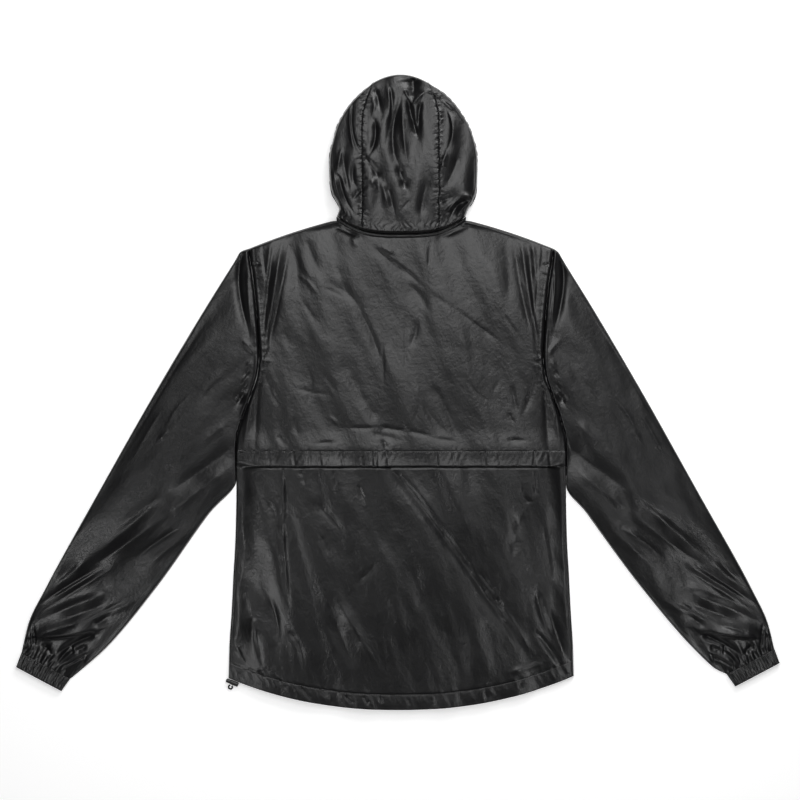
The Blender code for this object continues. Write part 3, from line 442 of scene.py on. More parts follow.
def along(path, share):
    """Points at shares of the length of a line of straight steps."""
    path = np.array(path)
    run = run_along(path)
    return [np.interp(share, run / run[-1], column) for column in path.T]


def foot(x, y, start, end):
    """A straight step, the share of it that each point is nearest to, and the way there."""
    step = end - start
    t = np.clip(((x - start[0]) * step[0] + (y - start[1]) * step[1]) / (step @ step), 0, 1)
    return step, t, x - start[0] - t * step[0], y - start[1] - t * step[1]


print("half width at the chest", round(float(curve(BODY_SECTIONS, 1, 0.0)), 4))

# %% Plan functions
def half_width(y):
    """Half the body's width at a level."""
    return curve(BODY_SECTIONS, 1, y)


def shoulder_y(out):
    """A straight line from the neck's side to the shoulder point, plus a parabola's bow."""
    t = np.clip((out - NECK_HALF) / (SHOULDER_HALF - NECK_HALF), 0, 1)
    return NECK_SIDE_Y + t * (SHOULDER_Y - NECK_SIDE_Y) + SHOULDER_ARCH * 4 * t * (1 - t)


def back_neck_y(x):
    """The back neck rises with the third power of the way out: flat, then steep."""
    return BACK_NECK_Y + (NECK_SIDE_Y - BACK_NECK_Y) * np.abs((x - BODY_AXIS) / NECK_HALF) ** 3


def front_neck_y(x):
    """The front neck is a parabola."""
    return FRONT_NECK_Y + (NECK_SIDE_Y - FRONT_NECK_Y) * ((x - BODY_AXIS) / NECK_HALF) ** 2


def body_top_y(x, neck):
    """Upper edge of a body panel: its neck curve, then the shoulder line."""
    out = np.abs(x - BODY_AXIS)
    return np.where(out < NECK_HALF, neck(x), shoulder_y(out))


def hem_y(x, drop):
    """The hem falls by its drop towards the middle, a little flatter than a parabola."""
    return HEM_SIDE_Y - drop * (1 - np.abs((x - HEM_AXIS) / HEM_HALF) ** HEM_POWER)


def sleeve_plan(side, share, across):
    """Plan point of a sleeve; across runs 0 to 1 from the outer edge to the inner one."""
    table = SLEEVE_SECTIONS[side]
    outer_out, outer_y, inner_out, inner_y = (curve(table, i, share) for i in (1, 2, 3, 4))
    out = outer_out + across * (inner_out - outer_out)
    y = outer_y + across * (inner_y - outer_y)
    first = table[0]
    straight_out = first[1] + across * (first[3] - first[1])
    straight_y = first[2] + across * (first[4] - first[2])
    arm_y = SHOULDER_Y + across * (UNDERARM_Y - SHOULDER_Y)
    arm_out = half_width(arm_y) + SEAM
    fade = 1 - smooth(share, 0, ARMHOLE_BLEND)
    out = out + fade * (arm_out - straight_out)
    y = y + fade * (arm_y - straight_y)
    body_side = half_width(y) + SEAM + BESIDE_BODY * smooth(share, 0, BESIDE_SHARE)
    out = np.where(y > BESIDE_Y, np.maximum(out, body_side), out)
    return BODY_AXIS + side * out, y


def flowing(rows, steps=12):
    """A Catmull-Rom line through points: it passes through each and bends smoothly."""
    p = np.array(rows)
    p = np.concatenate([2 * p[:1] - p[1:2], p, 2 * p[-1:] - p[-2:-1]])
    t = np.linspace(0, 1, steps, endpoint=False)[None, :, None]
    a, b, c, d = (p[k:len(p) - 3 + k, None, :] for k in range(4))
    line = 0.5 * (2 * b + (c - a) * t + (2 * a - 5 * b + 4 * c - d) * t ** 2
                  + (3 * b - a - 3 * c + d) * t ** 3)
    return np.concatenate([line.reshape(-1, 2), p[-2:-1]])


def hood_edge(side, share):
    """Plan point of the hood's outer edge, from the neck to the crown seam."""
    column = 1 if side < 0 else 2
    return along(flowing([(row[column], row[0]) for row in HOOD_OUTLINE]), share)


def hood_seam_x(side, y):
    """Straight up from the neck, then bending inward to the crown with the power 1.7."""
    turn = np.clip((y - SEAM_BENDS_Y) / (CROWN_SIDE_Y - SEAM_BENDS_Y), 0, 1) ** 1.7
    return HOOD_AXIS + side * (HOOD_SEAM_HALF + (CROWN_SEAM_HALF - HOOD_SEAM_HALF) * turn)


def crown_y(x):
    """The crown's edge is a parabola."""
    return CROWN_TOP_Y - (CROWN_TOP_Y - CROWN_SIDE_Y) * ((x - HOOD_AXIS) / CROWN_SEAM_HALF) ** 2


def hood_base_y(x):
    """The hood starts a neck band above the back's neck."""
    return back_neck_y(x) + BAND_DEPTH + 2 * SEAM


def folded_edges():
    """Lines on the plan where the upper layer comes down to meet the lower one."""
    edges = []
    share = spread(41, 0, 1)
    for side in (-1, 1):
        edges += [sleeve_plan(side, share, across + 0 * share) for across in (0.0, 1.0)]
        level = spread(25, UNDERARM_Y, HEM_SIDE_Y - 0.030)
        edges.append((BODY_AXIS + side * half_width(level), level))
        out = spread(8, NECK_HALF, SHOULDER_HALF)
        edges.append((BODY_AXIS + side * out, shoulder_y(out)))
        edges.append(hood_edge(side, share[::2]))
    x = HOOD_AXIS + CROWN_SEAM_HALF * spread(9)
    edges.append((x, crown_y(x)))
    return [np.stack(edge, 1) for edge in edges]


EDGES = folded_edges()


def edge_distance(x, y):
    """Plan distance from each point to the nearest folded edge."""
    best = np.full(np.shape(x), 1.0)
    for path in EDGES:
        for start, end in zip(path[:-1], path[1:]):
            best = np.minimum(best, np.hypot(*foot(x, y, start, end)[2:]))
    return best


print("folded edges", len(EDGES), "hem's lowest y", round(hem_y(HEM_AXIS, BACK_HEM_DROP), 4))

# %% Height functions
def cuff_frame(side):
    """Middle of the cuff seam, its half width, and unit vectors across and down the arm."""
    ends = [np.array(sleeve_plan(side, np.float64(1), np.float64(across))) for across in (0, 1)]
    across = (ends[1] - ends[0]) / np.linalg.norm(ends[1] - ends[0])
    down = np.array([across[1], -across[0]])
    down = down if down[1] < 0 else -down
    return (ends[0] + ends[1]) / 2, np.linalg.norm(ends[1] - ends[0]) / 2, across, down


CUFFS = {side: cuff_frame(side) for side in (-1, 1)}


def from_cuff(side, x, y):
    """How far points lie down the arm and across it from the middle of the cuff's seam."""
    middle, _, across, down = CUFFS[side]
    return ((x - middle[0]) * down[0] + (y - middle[1]) * down[1],
            (x - middle[0]) * across[0] + (y - middle[1]) * across[1])


def lift(x, y):
    """The lower layer rises where it lies on the zip slider."""
    far = np.hypot(x - BODY_AXIS, y - SLIDER_Y)
    return SLIDER_LIFT * (1 - smooth(far, LIFT_FLAT, LIFT_REACH))


def gathered_height(side, x, y):
    """Height of the sleeve where the cuff gathers it, and how much it counts at a point."""
    ahead, aside = from_cuff(side, x, y)
    aside = aside / CUFFS[side][1]
    wave = CUFF_GATHER_RISE * np.cos(math.pi * SLEEVE_GATHERS * (aside + 1))
    blouse = BLOUSE_RISE * np.exp(-((ahead + BLOUSE_BACK) / BLOUSE_WIDTH) ** 2)
    flank = np.sqrt(np.clip(1 - aside ** 2, 0, 1))
    height = EDGE_TOP + (CUFF_TOP + wave + blouse - EDGE_TOP) * flank
    return height, smooth(ahead, -CUFF_REACH, 0.0) * (side * x > ARMS_FROM)


def cape_rise(y):
    """The cape climbs on to the lower back that it overlaps."""
    return CAPE_RISE * (1 - smooth(y, CAPE_STITCH_Y, CAPE_STITCH_Y + CAPE_RISE_REACH))


def under_height(x, y):
    """Outer face of the hood's underside: on the surface, and rolled up at its edge."""
    roll = 1 - rounded(edge_distance(x, y) / ROLL_REACH)
    return lift(x, y) + HOOD_EDGE * smooth(y, *ROLL_LEVELS) * roll


print("cuffs", {side: frame_at[0].round(4).tolist() for side, frame_at in CUFFS.items()})

# %% [markdown]
# ## Creases
# Each row is one fold that shows on the real garment: three points of its line, how far it
# spreads to the left and to the right of that line, and its height, all in millimetres.
# A trough is negative. A fold that is sharp on one side and soft on the other is the kind
# that forms where cloth has been folded flat or pulled along a seam.

# %% Creases of the back
# columns: x, y of the first, middle and last point, spread to the left and to the right
# (given once where both are the same), height
BACK_FOLDS = (
    (-39, 222, -12, 195, 26, 166, 1.6, 4, -1.3), (-15, 202, 9, 184, 39, 157, 1.2, 2.2, -1),
    (49, 147, 85, 124, 122, 98, 1.5, 3, -0.5), (107, 108, 130, 92, 151, 78, 1.2, 2.5, -0.8),
    (-26, 218, -15, 212, -3, 206, 1.3, 1.6, 1.1), (-68, 230, -65, 224, -62, 215, 2, 1),
    (-135, 230, -128, 205, -108, 164, 5, -1.3), (-108, 164, -71, 144, -52, 115, 5, -1.2),
    (-95, 195, -82, 165, -68, 138, 4, -0.7), (-59, 129, -38, 85, -22, 42, 2.2, 5, -1.8),
    (-23, 77, -22, 49, -21, 1, 1.1, -0.7), (-150, 175, -134, 165, -116, 141, 1.5, 0.9),
    (-112, 156, -96, 150, -80, 141, 1.3, -0.6), (-142, 139, -132, 122, -119, 104, 2.5, 3.5, -0.8),
    (-82, 53, -68, 16, -44, -22, 6, -1.1), (-58, 4, -44, -23, -27, -41, 5, 7, -0.9),
    (11, 111, 11, 71, 12, 28, 1.1, -0.5), (-138, 43, -128, 15, -134, -17, 1.5, 2, -0.5),
    (-155, 9, -128, 1, -99, -2, 1.5, -0.5), (-112, 28, -99, 13, -91, -2, 2, -0.6),
    (-78, -50, -53, -52, -33, -50, 1.1, 2.5, -1), (-30, -51, -9, -53, 17, -58, 1.3, 3, -1.4),
    (-103, -35, -96, -40, -88, -47, 1.3, 0.7), (-39, -60, -21, -64, 3, -71, 3, -1),
    (-22, -69, -19, -76, -16, -86, 1.3, 1.5, -1.2), (-120, -75, -107, -74, -93, -74, 1.3, -0.9),
    (-197, 42, -189, 7, -167, -30, 2, 3.5, -1.1),
    (-155, -37, -152, -49, -147, -64, 1.5, 2.5, -0.9), (-178, -61, -174, -70, -166, -78, 2, -0.7),
    (-172, 94, -166, 83, -161, 67, 3, -0.5), (-171, 227, -184, 150, -197, 66, 2.6, 2),
    (-162, 218, -177, 138, -193, 70, 2.4, -1.6), (-184, 223, -194, 146, -199, 82, 2, -1.4),
    (-189, 223, -192, 195, -196, 153, 2, 1.2), (-163, 222, -150, 183, -155, 123, 6, -1.1),
    (-150, 224, -138, 187, -120, 162, 5, 0.9), (48, 222, 46, 195, 43, 165, 1.3, -0.8),
    (15, 162, 34, 143, 48, 114, 4, 5, -1.1), (29, 115, 26, 86, 15, 64, 2.5, 3, -1),
    (154, 119, 171, 96, 184, 75, 1.5, 2, -0.7), (184, 227, 192, 165, 209, 68, 2.6, 2),
    (173, 223, 183, 153, 203, 70, 2.4, -1.4), (195, 223, 200, 146, 209, 85, 2, -1.4),
    (199, 223, 203, 195, 207, 153, 2, 1.2), (159, 223, 164, 175, 162, 123, 6, -1),
    (98, 25, 119, -2, 134, -11, 1.5, -0.6), (141, 0, 146, 10, 151, 22, 2, -0.5),
    (169, 12, 173, -7, 178, -36, 1.8, 3, -1.3), (165, -29, 168, -37, 173, -46, 1.5, 2, -0.8),
    (36, -9, 49, -35, 72, -61, 4, -1), (47, 12, 69, -18, 92, -75, 3.5, 5.5, -1.1),
    (28, -7, 30, -24, 21, -47, 2, -0.5), (-4, -54, 21, -57, 56, -67, 1.3, 2.5, -0.9),
    (55, -67, 72, -70, 88, -73, 1.3, 2, -0.8), (161, -70, 174, -70, 191, -71, 1.1, 2, -1.2),
    (209, 42, 200, 6, 182, -40, 3.5, 2, -1.3), (-204, 28, -210, -11, -212, -88, 3.5, 4.5, -2.7),
    (-211, 16, -221, -33, -230, -88, 2.2, 1.6), (-207, 21, -221, -14, -236, -58, 1.3, -2.7),
    (218, 31, 220, -18, 223, -88, 4.5, 3.5, -2.7), (223, 16, 235, -33, 241, -88, 2.2, 1.6),
    (-219, 191, -211, 191, -204, 189, 0.9, 1.2, -2.3),
    (216, 189, 223, 191, 231, 191, 0.9, 1.2, -2.3), (-207, 49, -199, 48, -190, 47, 1.3, 1.6),
    (203, 51, 210, 51, 219, 52, 1.3, 1.6), (223, 18, 237, -17, 250, -62, 1.3, -2.7),
    (-101, 253, -79, 241, -53, 231, 2.6, 3, -2.3), (111, 253, 89, 241, 63, 231, 2.6, 3, -2.3),
)
print("folds of the upper back", len(BACK_FOLDS))

# %% Creases of the lower back and hem
LOWER_FOLDS = (
    (-233, -115, -235, -167, -239, -249, 1.6, 1.5),
    (-172, -113, -170, -160, -171, -198, 1.8, 2.4, -2),
    (-172, -183, -169, -246, -162, -317, 2.8, 3.6, -3.4),
    (-196, -161, -180, -195, -174, -267, 2.5, 3.5, -1.2),
    (-193, -299, -180, -338, -178, -375, 3, 3.5, -2.6),
    (-166, -349, -146, -375, -140, -409, 2.5, 3, -2), (-216, -332, -215, -353, -214, -375, 4, 2.6),
    (-214, -344, -207, -375, -201, -404, 1.8, -1.5),
    (-241, -375, -235, -389, -226, -404, 1.8, 2, -1.6),
    (-60, -137, -55, -148, -49, -162, 1.3, 1.5, -1.4), (-95, -113, -94, -130, -92, -148, 1.5, -1),
    (-143, -113, -141, -124, -137, -139, 2, -0.8), (-129, -160, -104, -182, -77, -213, 5, -1.2),
    (-116, -211, -108, -226, -102, -246, 2, 3, -1), (-33, -253, -44, -267, -60, -282, 2.5, -1.2),
    (-89, -308, -62, -356, -30, -409, 6, 7, 2.5), (-101, -323, -79, -375, -68, -415, 8, -1.5),
    (-10, -112, 27, -158, 67, -213, 2.6, 3.2, -3.1), (54, -195, 90, -243, 128, -296, 3, 3.2, -3.3),
    (18, -127, 48, -167, 81, -213, 4, 1.1), (116, -280, 152, -331, 189, -384, 2.8, 3, -2.6),
    (119, -264, 134, -283, 146, -298, 1.5, -1.2), (155, -317, 177, -350, 201, -390, 2, 1.2),
    (145, -304, 151, -311, 156, -319, 1.3, -1.6), (182, -134, 189, -158, 203, -160, 1.8, -1.1),
    (190, -176, 176, -208, 168, -261, 5, -1.8), (203, -110, 204, -133, 206, -157, 1.5, 2, -1.6),
    (216, -198, 223, -237, 229, -279, 1.5, 2, -1.2), (206, -290, 213, -326, 234, -380, 4, 3, -2.6),
    (206, -356, 226, -380, 247, -415, 2.5, -2.4), (219, -308, 235, -356, 250, -398, 3, 2),
    (164, -415, 191, -408, 220, -398, 3, 4, 1.5), (107, -308, 137, -346, 159, -375, 5, 0.8),
    (3, -249, 33, -293, 26, -338, 8, -1), (48, -338, 92, -368, 122, -383, 8, -0.8),
)
CASING_FOLDS = (
    (-207, -412, -204, -418, -202, -426, 1.5, -1.2),
    (-180, -423, -172, -433, -163, -445, 1.5, 2, -1.3),
    (-171, -424, -163, -433, -158, -442, 1.3, 1.5, 1),
    (-148, -432, -137, -445, -126, -458, 1.6, 2, -1.6),
    (-116, -439, -111, -445, -105, -453, 1.5, -1.2),
    (-79, -448, -73, -456, -65, -463, 1.5, 1.8, -1.3),
    (-52, -450, -47, -457, -41, -466, 1.4, 1.6, -1.2),
    (-28, -450, -25, -456, -23, -461, 1.3, 1.5, -1), (14, -453, 17, -459, 18, -466, 1.5, -0.8),
    (51, -451, 52, -459, 54, -465, 1.5, -0.8), (90, -447, 91, -453, 94, -459, 1.5, -0.7),
    (129, -444, 131, -450, 133, -457, 1.2, 1.5, -1.3),
    (179, -430, 182, -435, 185, -439, 1.3, 1.5, -1.1),
    (231, -405, 232, -412, 235, -421, 1.3, 1.5, -1.4),
)
print("folds of the lower back and hem", len(LOWER_FOLDS), len(CASING_FOLDS))

# %% Creases of the sleeves, out from the centre back
SLEEVE_FOLDS = (
    (287, 117, 345, 35, 408, -70, 1.3, 0.9), (292, 101, 344, 22, 402, -78, 1.2, -0.5),
    (309, -1, 332, -23, 350, -53, 2, 1.5, 0.7), (358, -29, 377, -60, 397, -95, 1.5, 0.7),
    (345, -57, 353, -63, 361, -72, 2, 0.9), (270, 18, 285, 3, 298, -15, 1.5, -0.6),
    (243, -75, 287, -108, 353, -153, 8, -3), (353, -153, 408, -202, 463, -246, 7, -3),
    (463, -246, 496, -273, 523, -296, 5, -2), (258, -112, 303, -147, 353, -186, 5, 1.8),
    (353, -186, 408, -224, 463, -260, 4, 2.4), (447, -258, 491, -284, 532, -311, 2, 2),
    (442, -260, 484, -285, 523, -308, 1.1, -1.2), (430, -261, 476, -289, 530, -322, 1.6, 1.2),
    (259, -45, 279, -60, 298, -76, 4, 0.9), (325, -136, 380, -171, 448, -223, 7, 1.8),
    (325, -199, 362, -221, 395, -246, 2.5, 2, -1.5), (309, -202, 347, -232, 380, -260, 4, 1.2),
    (479, -249, 497, -267, 517, -284, 4, 1.5), (438, -299, 476, -311, 544, -341, 5.5, 4.5, 2.6),
    (426, -286, 471, -301, 523, -320, 5, -1.5), (436, -313, 471, -326, 523, -346, 4, -2),
    (415, -313, 446, -326, 476, -343, 1.6, 1.1, -1), (393, -308, 415, -319, 430, -326, 3, 1),
    (476, -343, 505, -350, 537, -361, 2, 1.5, -1.4), (459, -347, 447, -340, 433, -331, 3.5, -2.4),
    (543, -363, 505, -360, 451, -352, 1.8, 9, 6), (453, -361, 476, -367, 518, -392, 2.5, -5),
    (537, -375, 526, -380, 520, -390, 3, -4.5), (546, -347, 545, -365, 543, -380, 1.3, -2.5),
    (555, -349, 554, -366, 553, -384, 1.3, 1.4), (559, -356, 559, -371, 558, -384, 1.2, -1.4),
    (549, -352, 549, -368, 548, -386, 1.2, 1.5), (490, -375, 489, -381, 488, -389, 1.5, 1.3, -2.2),
    (491, -378, 502, -390, 515, -404, 1.5, 2), (484, -380, 497, -392, 512, -405, 1.5, -1.8),
    (465, -384, 485, -393, 509, -407, 1.5, 1.6), (469, -390, 487, -399, 503, -409, 1.3, -1.8),
    (473, -395, 490, -404, 505, -412, 1.3, 1.4), (466, -389, 470, -395, 470, -404, 1.3, 1),
    (465, -375, 475, -380, 485, -384, 2.5, -2.5), (234, 211, 241, 160, 225, 86, 3, 2.5, -4),
    (228, 195, 227, 146, 221, 93, 1.3, 1.2, 1.5), (237, 79, 226, 68, 218, 57, 1.5, 1.6),
    (221, 46, 226, 43, 231, 40, 1.2, 1.2), (225, 32, 230, 29, 234, 25, 1.3, -1.4),
    (227, 24, 232, 19, 236, 13, 1.3, 1.2), (229, 12, 235, 7, 241, 3, 1.3, -1.5),
    (231, 1, 238, -8, 244, -18, 3.5, -4.5), (238, -55, 242, -93, 243, -130, 2, -2.5),
)
print("folds of a sleeve", len(SLEEVE_FOLDS))

# %% Creases of the hood, tucks of the cape
HOOD_FOLDS = (
    (9, 450, 15, 437, 22, 426, 1.3, 2.2), (22, 426, 30, 436, 40, 445, 1.3, 2.2),
    (40, 445, 54, 441, 65, 431, 1.3, 1.8), (65, 431, 76, 422, 81, 416, 1.3, 1.5),
    (21, 468, 23, 454, 22, 436, 6, -6), (14, 439, 21, 406, 30, 376, 2.5, -6),
    (36, 433, 31, 409, 33, 381, 2, -3.5), (4, 433, -8, 378, 2, 333, 3.5, 4, -4.5),
    (0, 339, 6, 317, 15, 297, 3.5, -3.5), (7, 438, 8, 385, 15, 339, 2.5, 2),
    (-13, 454, -9, 421, -18, 366, 2.5, -3), (-35, 451, -30, 436, -24, 410, 2.5, -2.5),
    (-16, 452, -12, 428, -13, 384, 1.5, 1.5), (-35, 403, -33, 378, -41, 354, 2, 2.5, -4),
    (-48, 346, -35, 329, -27, 316, 3, -3.5), (-66, 430, -67, 384, -51, 349, 1.2, -1.6),
    (-70, 424, -70, 391, -65, 361, 1.3, 1.5), (-51, 349, -46, 345, -41, 339, 1.1, -1.4),
    (-64, 436, -53, 438, -40, 438, 1.3, 1.2), (-40, 439, -35, 425, -38, 409, 1.5, 1),
    (-91, 325, -86, 346, -83, 364, 2, 1.4), (-95, 327, -89, 296, -75, 263, 2, 2.2, 2.6),
    (-91, 325, -82, 317, -77, 299, 1.5, 1), (-83, 361, -77, 324, -71, 294, 3, -2),
    (-86, 320, -80, 293, -66, 267, 1.5, -2), (-66, 286, -59, 296, -47, 303, 1.5, -2),
    (-64, 342, -67, 320, -61, 302, 2.5, -3), (-43, 315, -35, 308, -30, 294, 2, 1.5),
    (-27, 314, -19, 294, -15, 269, 2.5, 1.5), (-18, 309, -10, 287, -3, 254, 2.5, -1.6),
    (65, 433, 85, 415, 106, 386, 1.3, 1.2), (81, 427, 94, 407, 106, 387, 3, -1.5),
    (70, 424, 81, 390, 72, 358, 4, 1.5, 2.4), (72, 358, 67, 342, 64, 327, 3, 1.5, 1.8),
    (92, 361, 82, 329, 69, 302, 5, -3), (113, 287, 103, 291, 94, 291, 1.4, 1.8, 3),
    (94, 291, 82, 278, 67, 263, 1.5, 3), (106, 281, 90, 279, 78, 259, 3, -6),
    (112, 285, 97, 274, 86, 259, 1.3, 2.2), (81, 290, 69, 285, 57, 276, 2.5, -2.5),
    (3, 269, 15, 281, 24, 293, 0.9, -0.5), (48, 317, 37, 287, 34, 254, 3.5, 4, -2),
)
# columns in millimetres: x, lean over the strip, spread, depth
CAPE_TUCKS = (
    (-193, 3.0, 1.6, 1), (-156, 3.0, 1.5, 1.2), (-132, 1.5, 1.5, 1), (-117, 3.0, 1.3, 1.2),
    (-85, 4.5, 1.6, 1.4), (-67, 3.0, 1.3, 1.3), (-55, 3.0, 1.3, 1.3), (-39, 1.5, 1.3, 1.5),
    (-31, -1.5, 1.3, 1.3), (-18, 4.5, 1.5, 1.5), (21, 3.0, 2, 0.7), (57, 1.5, 1.6, 1.2),
    (81, 3.0, 1.6, 0.8), (128, 1.5, 1.6, 1.4), (149, 3.0, 1.6, 0.8), (182, -3.0, 1.6, 0.9),
    (203, -1.5, 1.6, 1.7), (224, 3.0, 1.6, 1.4),
)
print("folds of the hood", len(HOOD_FOLDS), "tucks of the cape", len(CAPE_TUCKS))

# %% Crease and unevenness functions
CREASE_SPREAD = 1.55        # the folds' spreads are given at their steepest part
CREASE_DEPTH = 1.15         # and their heights between the lit and the dark side
CREST = 1.4                 # 2 would be a round bell, 1 a sharp ridge
FADE_IN = 0.007             # creases fade out this close to a folded edge


def creases(x, y, table):
    """Sum of bells across bent lines, uneven in depth and fading towards both ends.

    A fold is height times e to the minus (distance over spread) to the power CREST.
    """
    total = np.zeros(np.shape(x))
    draw = np.random.default_rng(len(table))
    full = [row if len(row) == 9 else (*row[:7], *row[6:]) for row in table]
    for row in np.array(full) / 1000:
        start, middle, end = row[:6].reshape(3, 2)
        wide = row[6:8] * CREASE_SPREAD
        phase, turns = draw.uniform(0, 6.3), draw.uniform(1.0, 2.6)
        bend = 2 * middle - (start + end) / 2
        t = spread(9, 0, 1)[:, None]
        line = (1 - t) ** 2 * start + 2 * t * (1 - t) * bend + t * t * end
        reach = 2.6 * wide.max()
        low, high = line.min(0) - reach, line.max(0) + reach
        near = (x > low[0]) & (x < high[0]) & (y > low[1]) & (y < high[1])
        px, py = x[near], y[near]
        best, left, at = (np.full(px.shape, value) for value in (1.0, 0.0, 0.0))
        for k, (a, b) in enumerate(zip(line[:-1], line[1:])):
            step, s, dx, dy = foot(px, py, a, b)
            far = np.hypot(dx, dy)
            closer = far < best
            best = np.where(closer, far, best)
            left = np.where(closer, step[0] * dy - step[1] * dx, left)
            at = np.where(closer, (k + s) / 8, at)
        side = np.where(left > 0, wide[0], wide[1])
        ends = 0.2 + 0.8 * smooth(at, 0, 0.3) * (1 - smooth(at, 0.65, 1))
        uneven = 1 + 0.12 * np.sin(turns * 2 * math.pi * at + phase)
        total[near] += CREASE_DEPTH * row[8] * np.exp(-(best / side) ** CREST) * ends * uneven
    return total


def waves(x, y, seed, length, height, count=26):
    """Soft unevenness: sine waves of about one length, in random directions, added up."""
    draw = np.random.default_rng(seed)
    total = np.zeros(np.shape(x))
    for _ in range(count):
        turn, phase = draw.uniform(0, math.pi), draw.uniform(0, 2 * math.pi)
        pitch = 2 * math.pi / (length * draw.uniform(0.7, 1.6))
        total += np.sin(pitch * (x * math.cos(turn) + y * math.sin(turn)) + phase)
    return height * math.sqrt(2 / count) * total


def bell(distance, reach):
    """1 at distance 0, then e to the minus square of distance over reach."""
    return np.exp(-(distance / reach) ** 2)


def gathers(along_seam, seed, pitch):
    """Uneven waves along a seam, from -1 to 1, about one pitch apart."""
    draw = np.random.default_rng(seed)
    total = sum(np.sin(2 * math.pi * along_seam / (pitch * draw.uniform(0.7, 1.5))
                       + draw.uniform(0, 6.3)) for _ in range(4))
    return total / 2.2


def rounded_folds(along_seam, seed, pitch):
    """Full folds with narrow valleys between them, from 0 to 1, about one pitch apart."""
    draw = np.random.default_rng(seed)
    turn = math.pi * along_seam / pitch
    for _ in range(3):
        turn = turn + draw.uniform(0.4, 0.8) * np.sin(
            2 * math.pi * along_seam / (pitch * draw.uniform(2.5, 8)) + draw.uniform(0, 6.3))
    return np.abs(np.sin(turn)) ** 0.6


BODY_FOLDS = BACK_FOLDS + LOWER_FOLDS + CASING_FOLDS + HOOD_FOLDS
print("creases", len(BODY_FOLDS) + len(SLEEVE_FOLDS))

# %% [markdown]
# ## Seams
# A seam pulls the cloth in, so it lies in a groove with small puckers on both sides. The
# armhole is also topstitched, which leaves a flat strip on the body side.

# %% Seam relief
# In the sums below the factor before a bell is its height and the number in it is its reach,
# both in metres. A smooth step's two numbers are the levels between which it runs.
STRIP = 0.0080              # an armhole's stitch line is this far from its seam
STRIP_WIDE = 0.0175         # and the flat strip ends here
ROLLED = 0.0016             # a folded edge rolls over within this much
EDGE_LOW = 0.0007           # and is this high at its rim
FALL_DEEP, FALL_WIDE = 0.0082, (0.040, 0.031)   # fall towards the side seams, left and right


def armhole_relief(x, y):
    """Deep groove, a flat topstitched strip on the body side, a roll on the sleeve side."""
    side = np.sign(x - BODY_AXIS)
    out = np.abs(x - BODY_AXIS) - half_width(y)
    on = smooth(y, UNDERARM_Y - 0.012, UNDERARM_Y + 0.010)
    wide = STRIP_WIDE * (0.75 + 0.25 * smooth(y, 0.04, 0.13)) * smooth(y, 0.03, 0.07)
    groove = -0.0036 * bell(out, 0.0016) - 0.00025 * bell(out + STRIP, 0.0011)
    strip = 0.0009 * smooth(out, -wide - 0.0016, -wide + 0.0008) * (1 - smooth(out, -0.003, 0))
    roll = 0.0007 * bell(out - 0.0036, 0.0016)
    pucker = gathers(y + 0.2 * out + side, 5, 0.0105)
    small = 0.00018 * pucker * (bell(out - 0.004, 0.006) + bell(out + STRIP, 0.006))
    return on * (groove + strip + roll + small)


def hood_seam_relief(x, y):
    """Puckers where the hood's middle panel meets its side panels."""
    side = np.sign(x - HOOD_AXIS)
    out = np.abs(x - HOOD_AXIS) - np.abs(hood_seam_x(1, y) - HOOD_AXIS)
    on = smooth(y, 0.236, 0.246) * (1 - smooth(y, 0.435, 0.455))
    pucker = rounded_folds(y + 0.25 * np.abs(out) + side, 9, 0.0095) - 0.6
    uneven = 0.55 + 0.45 * gathers(y + side, 11, 0.035)
    return on * (-0.0007 * bell(out, 0.0014) + 0.0018 * uneven * pucker * bell(out, 0.0065))


def neck_relief(x, y):
    """The neck band lies flat between two shallow seams; the hood curls up above it."""
    above = y - back_neck_y(x)
    near = np.abs(x - BODY_AXIS) < NECK_HALF
    ends = smooth(np.abs(x - BODY_AXIS), 0.050, 0.090)
    return near * (-0.0004 * bell(above, 0.0010) - 0.0009 * bell(above - BAND_DEPTH, 0.0012)
                   - 0.0022 * ends * bell(above + 0.001, 0.0045))


def cape_relief(x, y):
    """The cape's stitch line, its slanted tucks, and the hollow just below its hem."""
    total = -0.00018 * bell(y - CAPE_STITCH_Y, 0.0012)
    below = CAPE_STITCH_Y - y
    for place, lean, wide, deep in CAPE_TUCKS:
        at = place / 1000 + lean / 1000 * below / 0.022
        total -= deep / 1000 * 0.7 * bell(x - at, wide / 1000) * smooth(below, -0.004, 0.003)
    total += 0.00022 * gathers(x + 0.5 * below, 33, 0.008) * bell(below - 0.006, 0.010)
    return total * (y > CAPE_EDGE_Y - 0.001) * smooth(-below, -0.04, -0.02) * (below > -0.02)


def hem_relief(x, y):
    """The casing's stitch line and the puckers that the cord draws up."""
    up = y - hem_y(x, BACK_HEM_DROP) - HEM_DEPTH
    pucker = gathers(x + 0.5 * up, 41, 0.0125)
    return (-0.0005 * bell(up, 0.0014) + 0.00028 * pucker * bell(up + 0.006, 0.010)
            + 0.0006 * bell(up + 0.011, 0.010))


def side_fall(x, y):
    """Below the cape the back slopes down towards its side seams in one dark band."""
    inward = half_width(y) - np.abs(x - BODY_AXIS)
    fall = 1 - smooth(inward, -0.010, np.where(x < BODY_AXIS, *FALL_WIDE))
    return -FALL_DEEP * fall * (1 - smooth(y, -0.113, -0.102)) * smooth(y, -0.400, -0.330)


print("armhole groove", round(float(armhole_relief(BODY_AXIS + half_width(0.1), 0.1)), 5))

# %% Heights
def edge_roll(inside):
    """How far a rolled edge has risen: a quarter circle over ROLLED."""
    t = np.clip(inside / ROLLED, 0, 1)
    return np.sqrt(1 - (1 - t) ** 2)


def neck_roll(x, y):
    """The hood's cloth rolls up right above the neck band, over about two millimetres."""
    return edge_roll(0.7 * (y - back_neck_y(x) - BAND_DEPTH - 1.5 * SEAM)) * (y > 0.225)


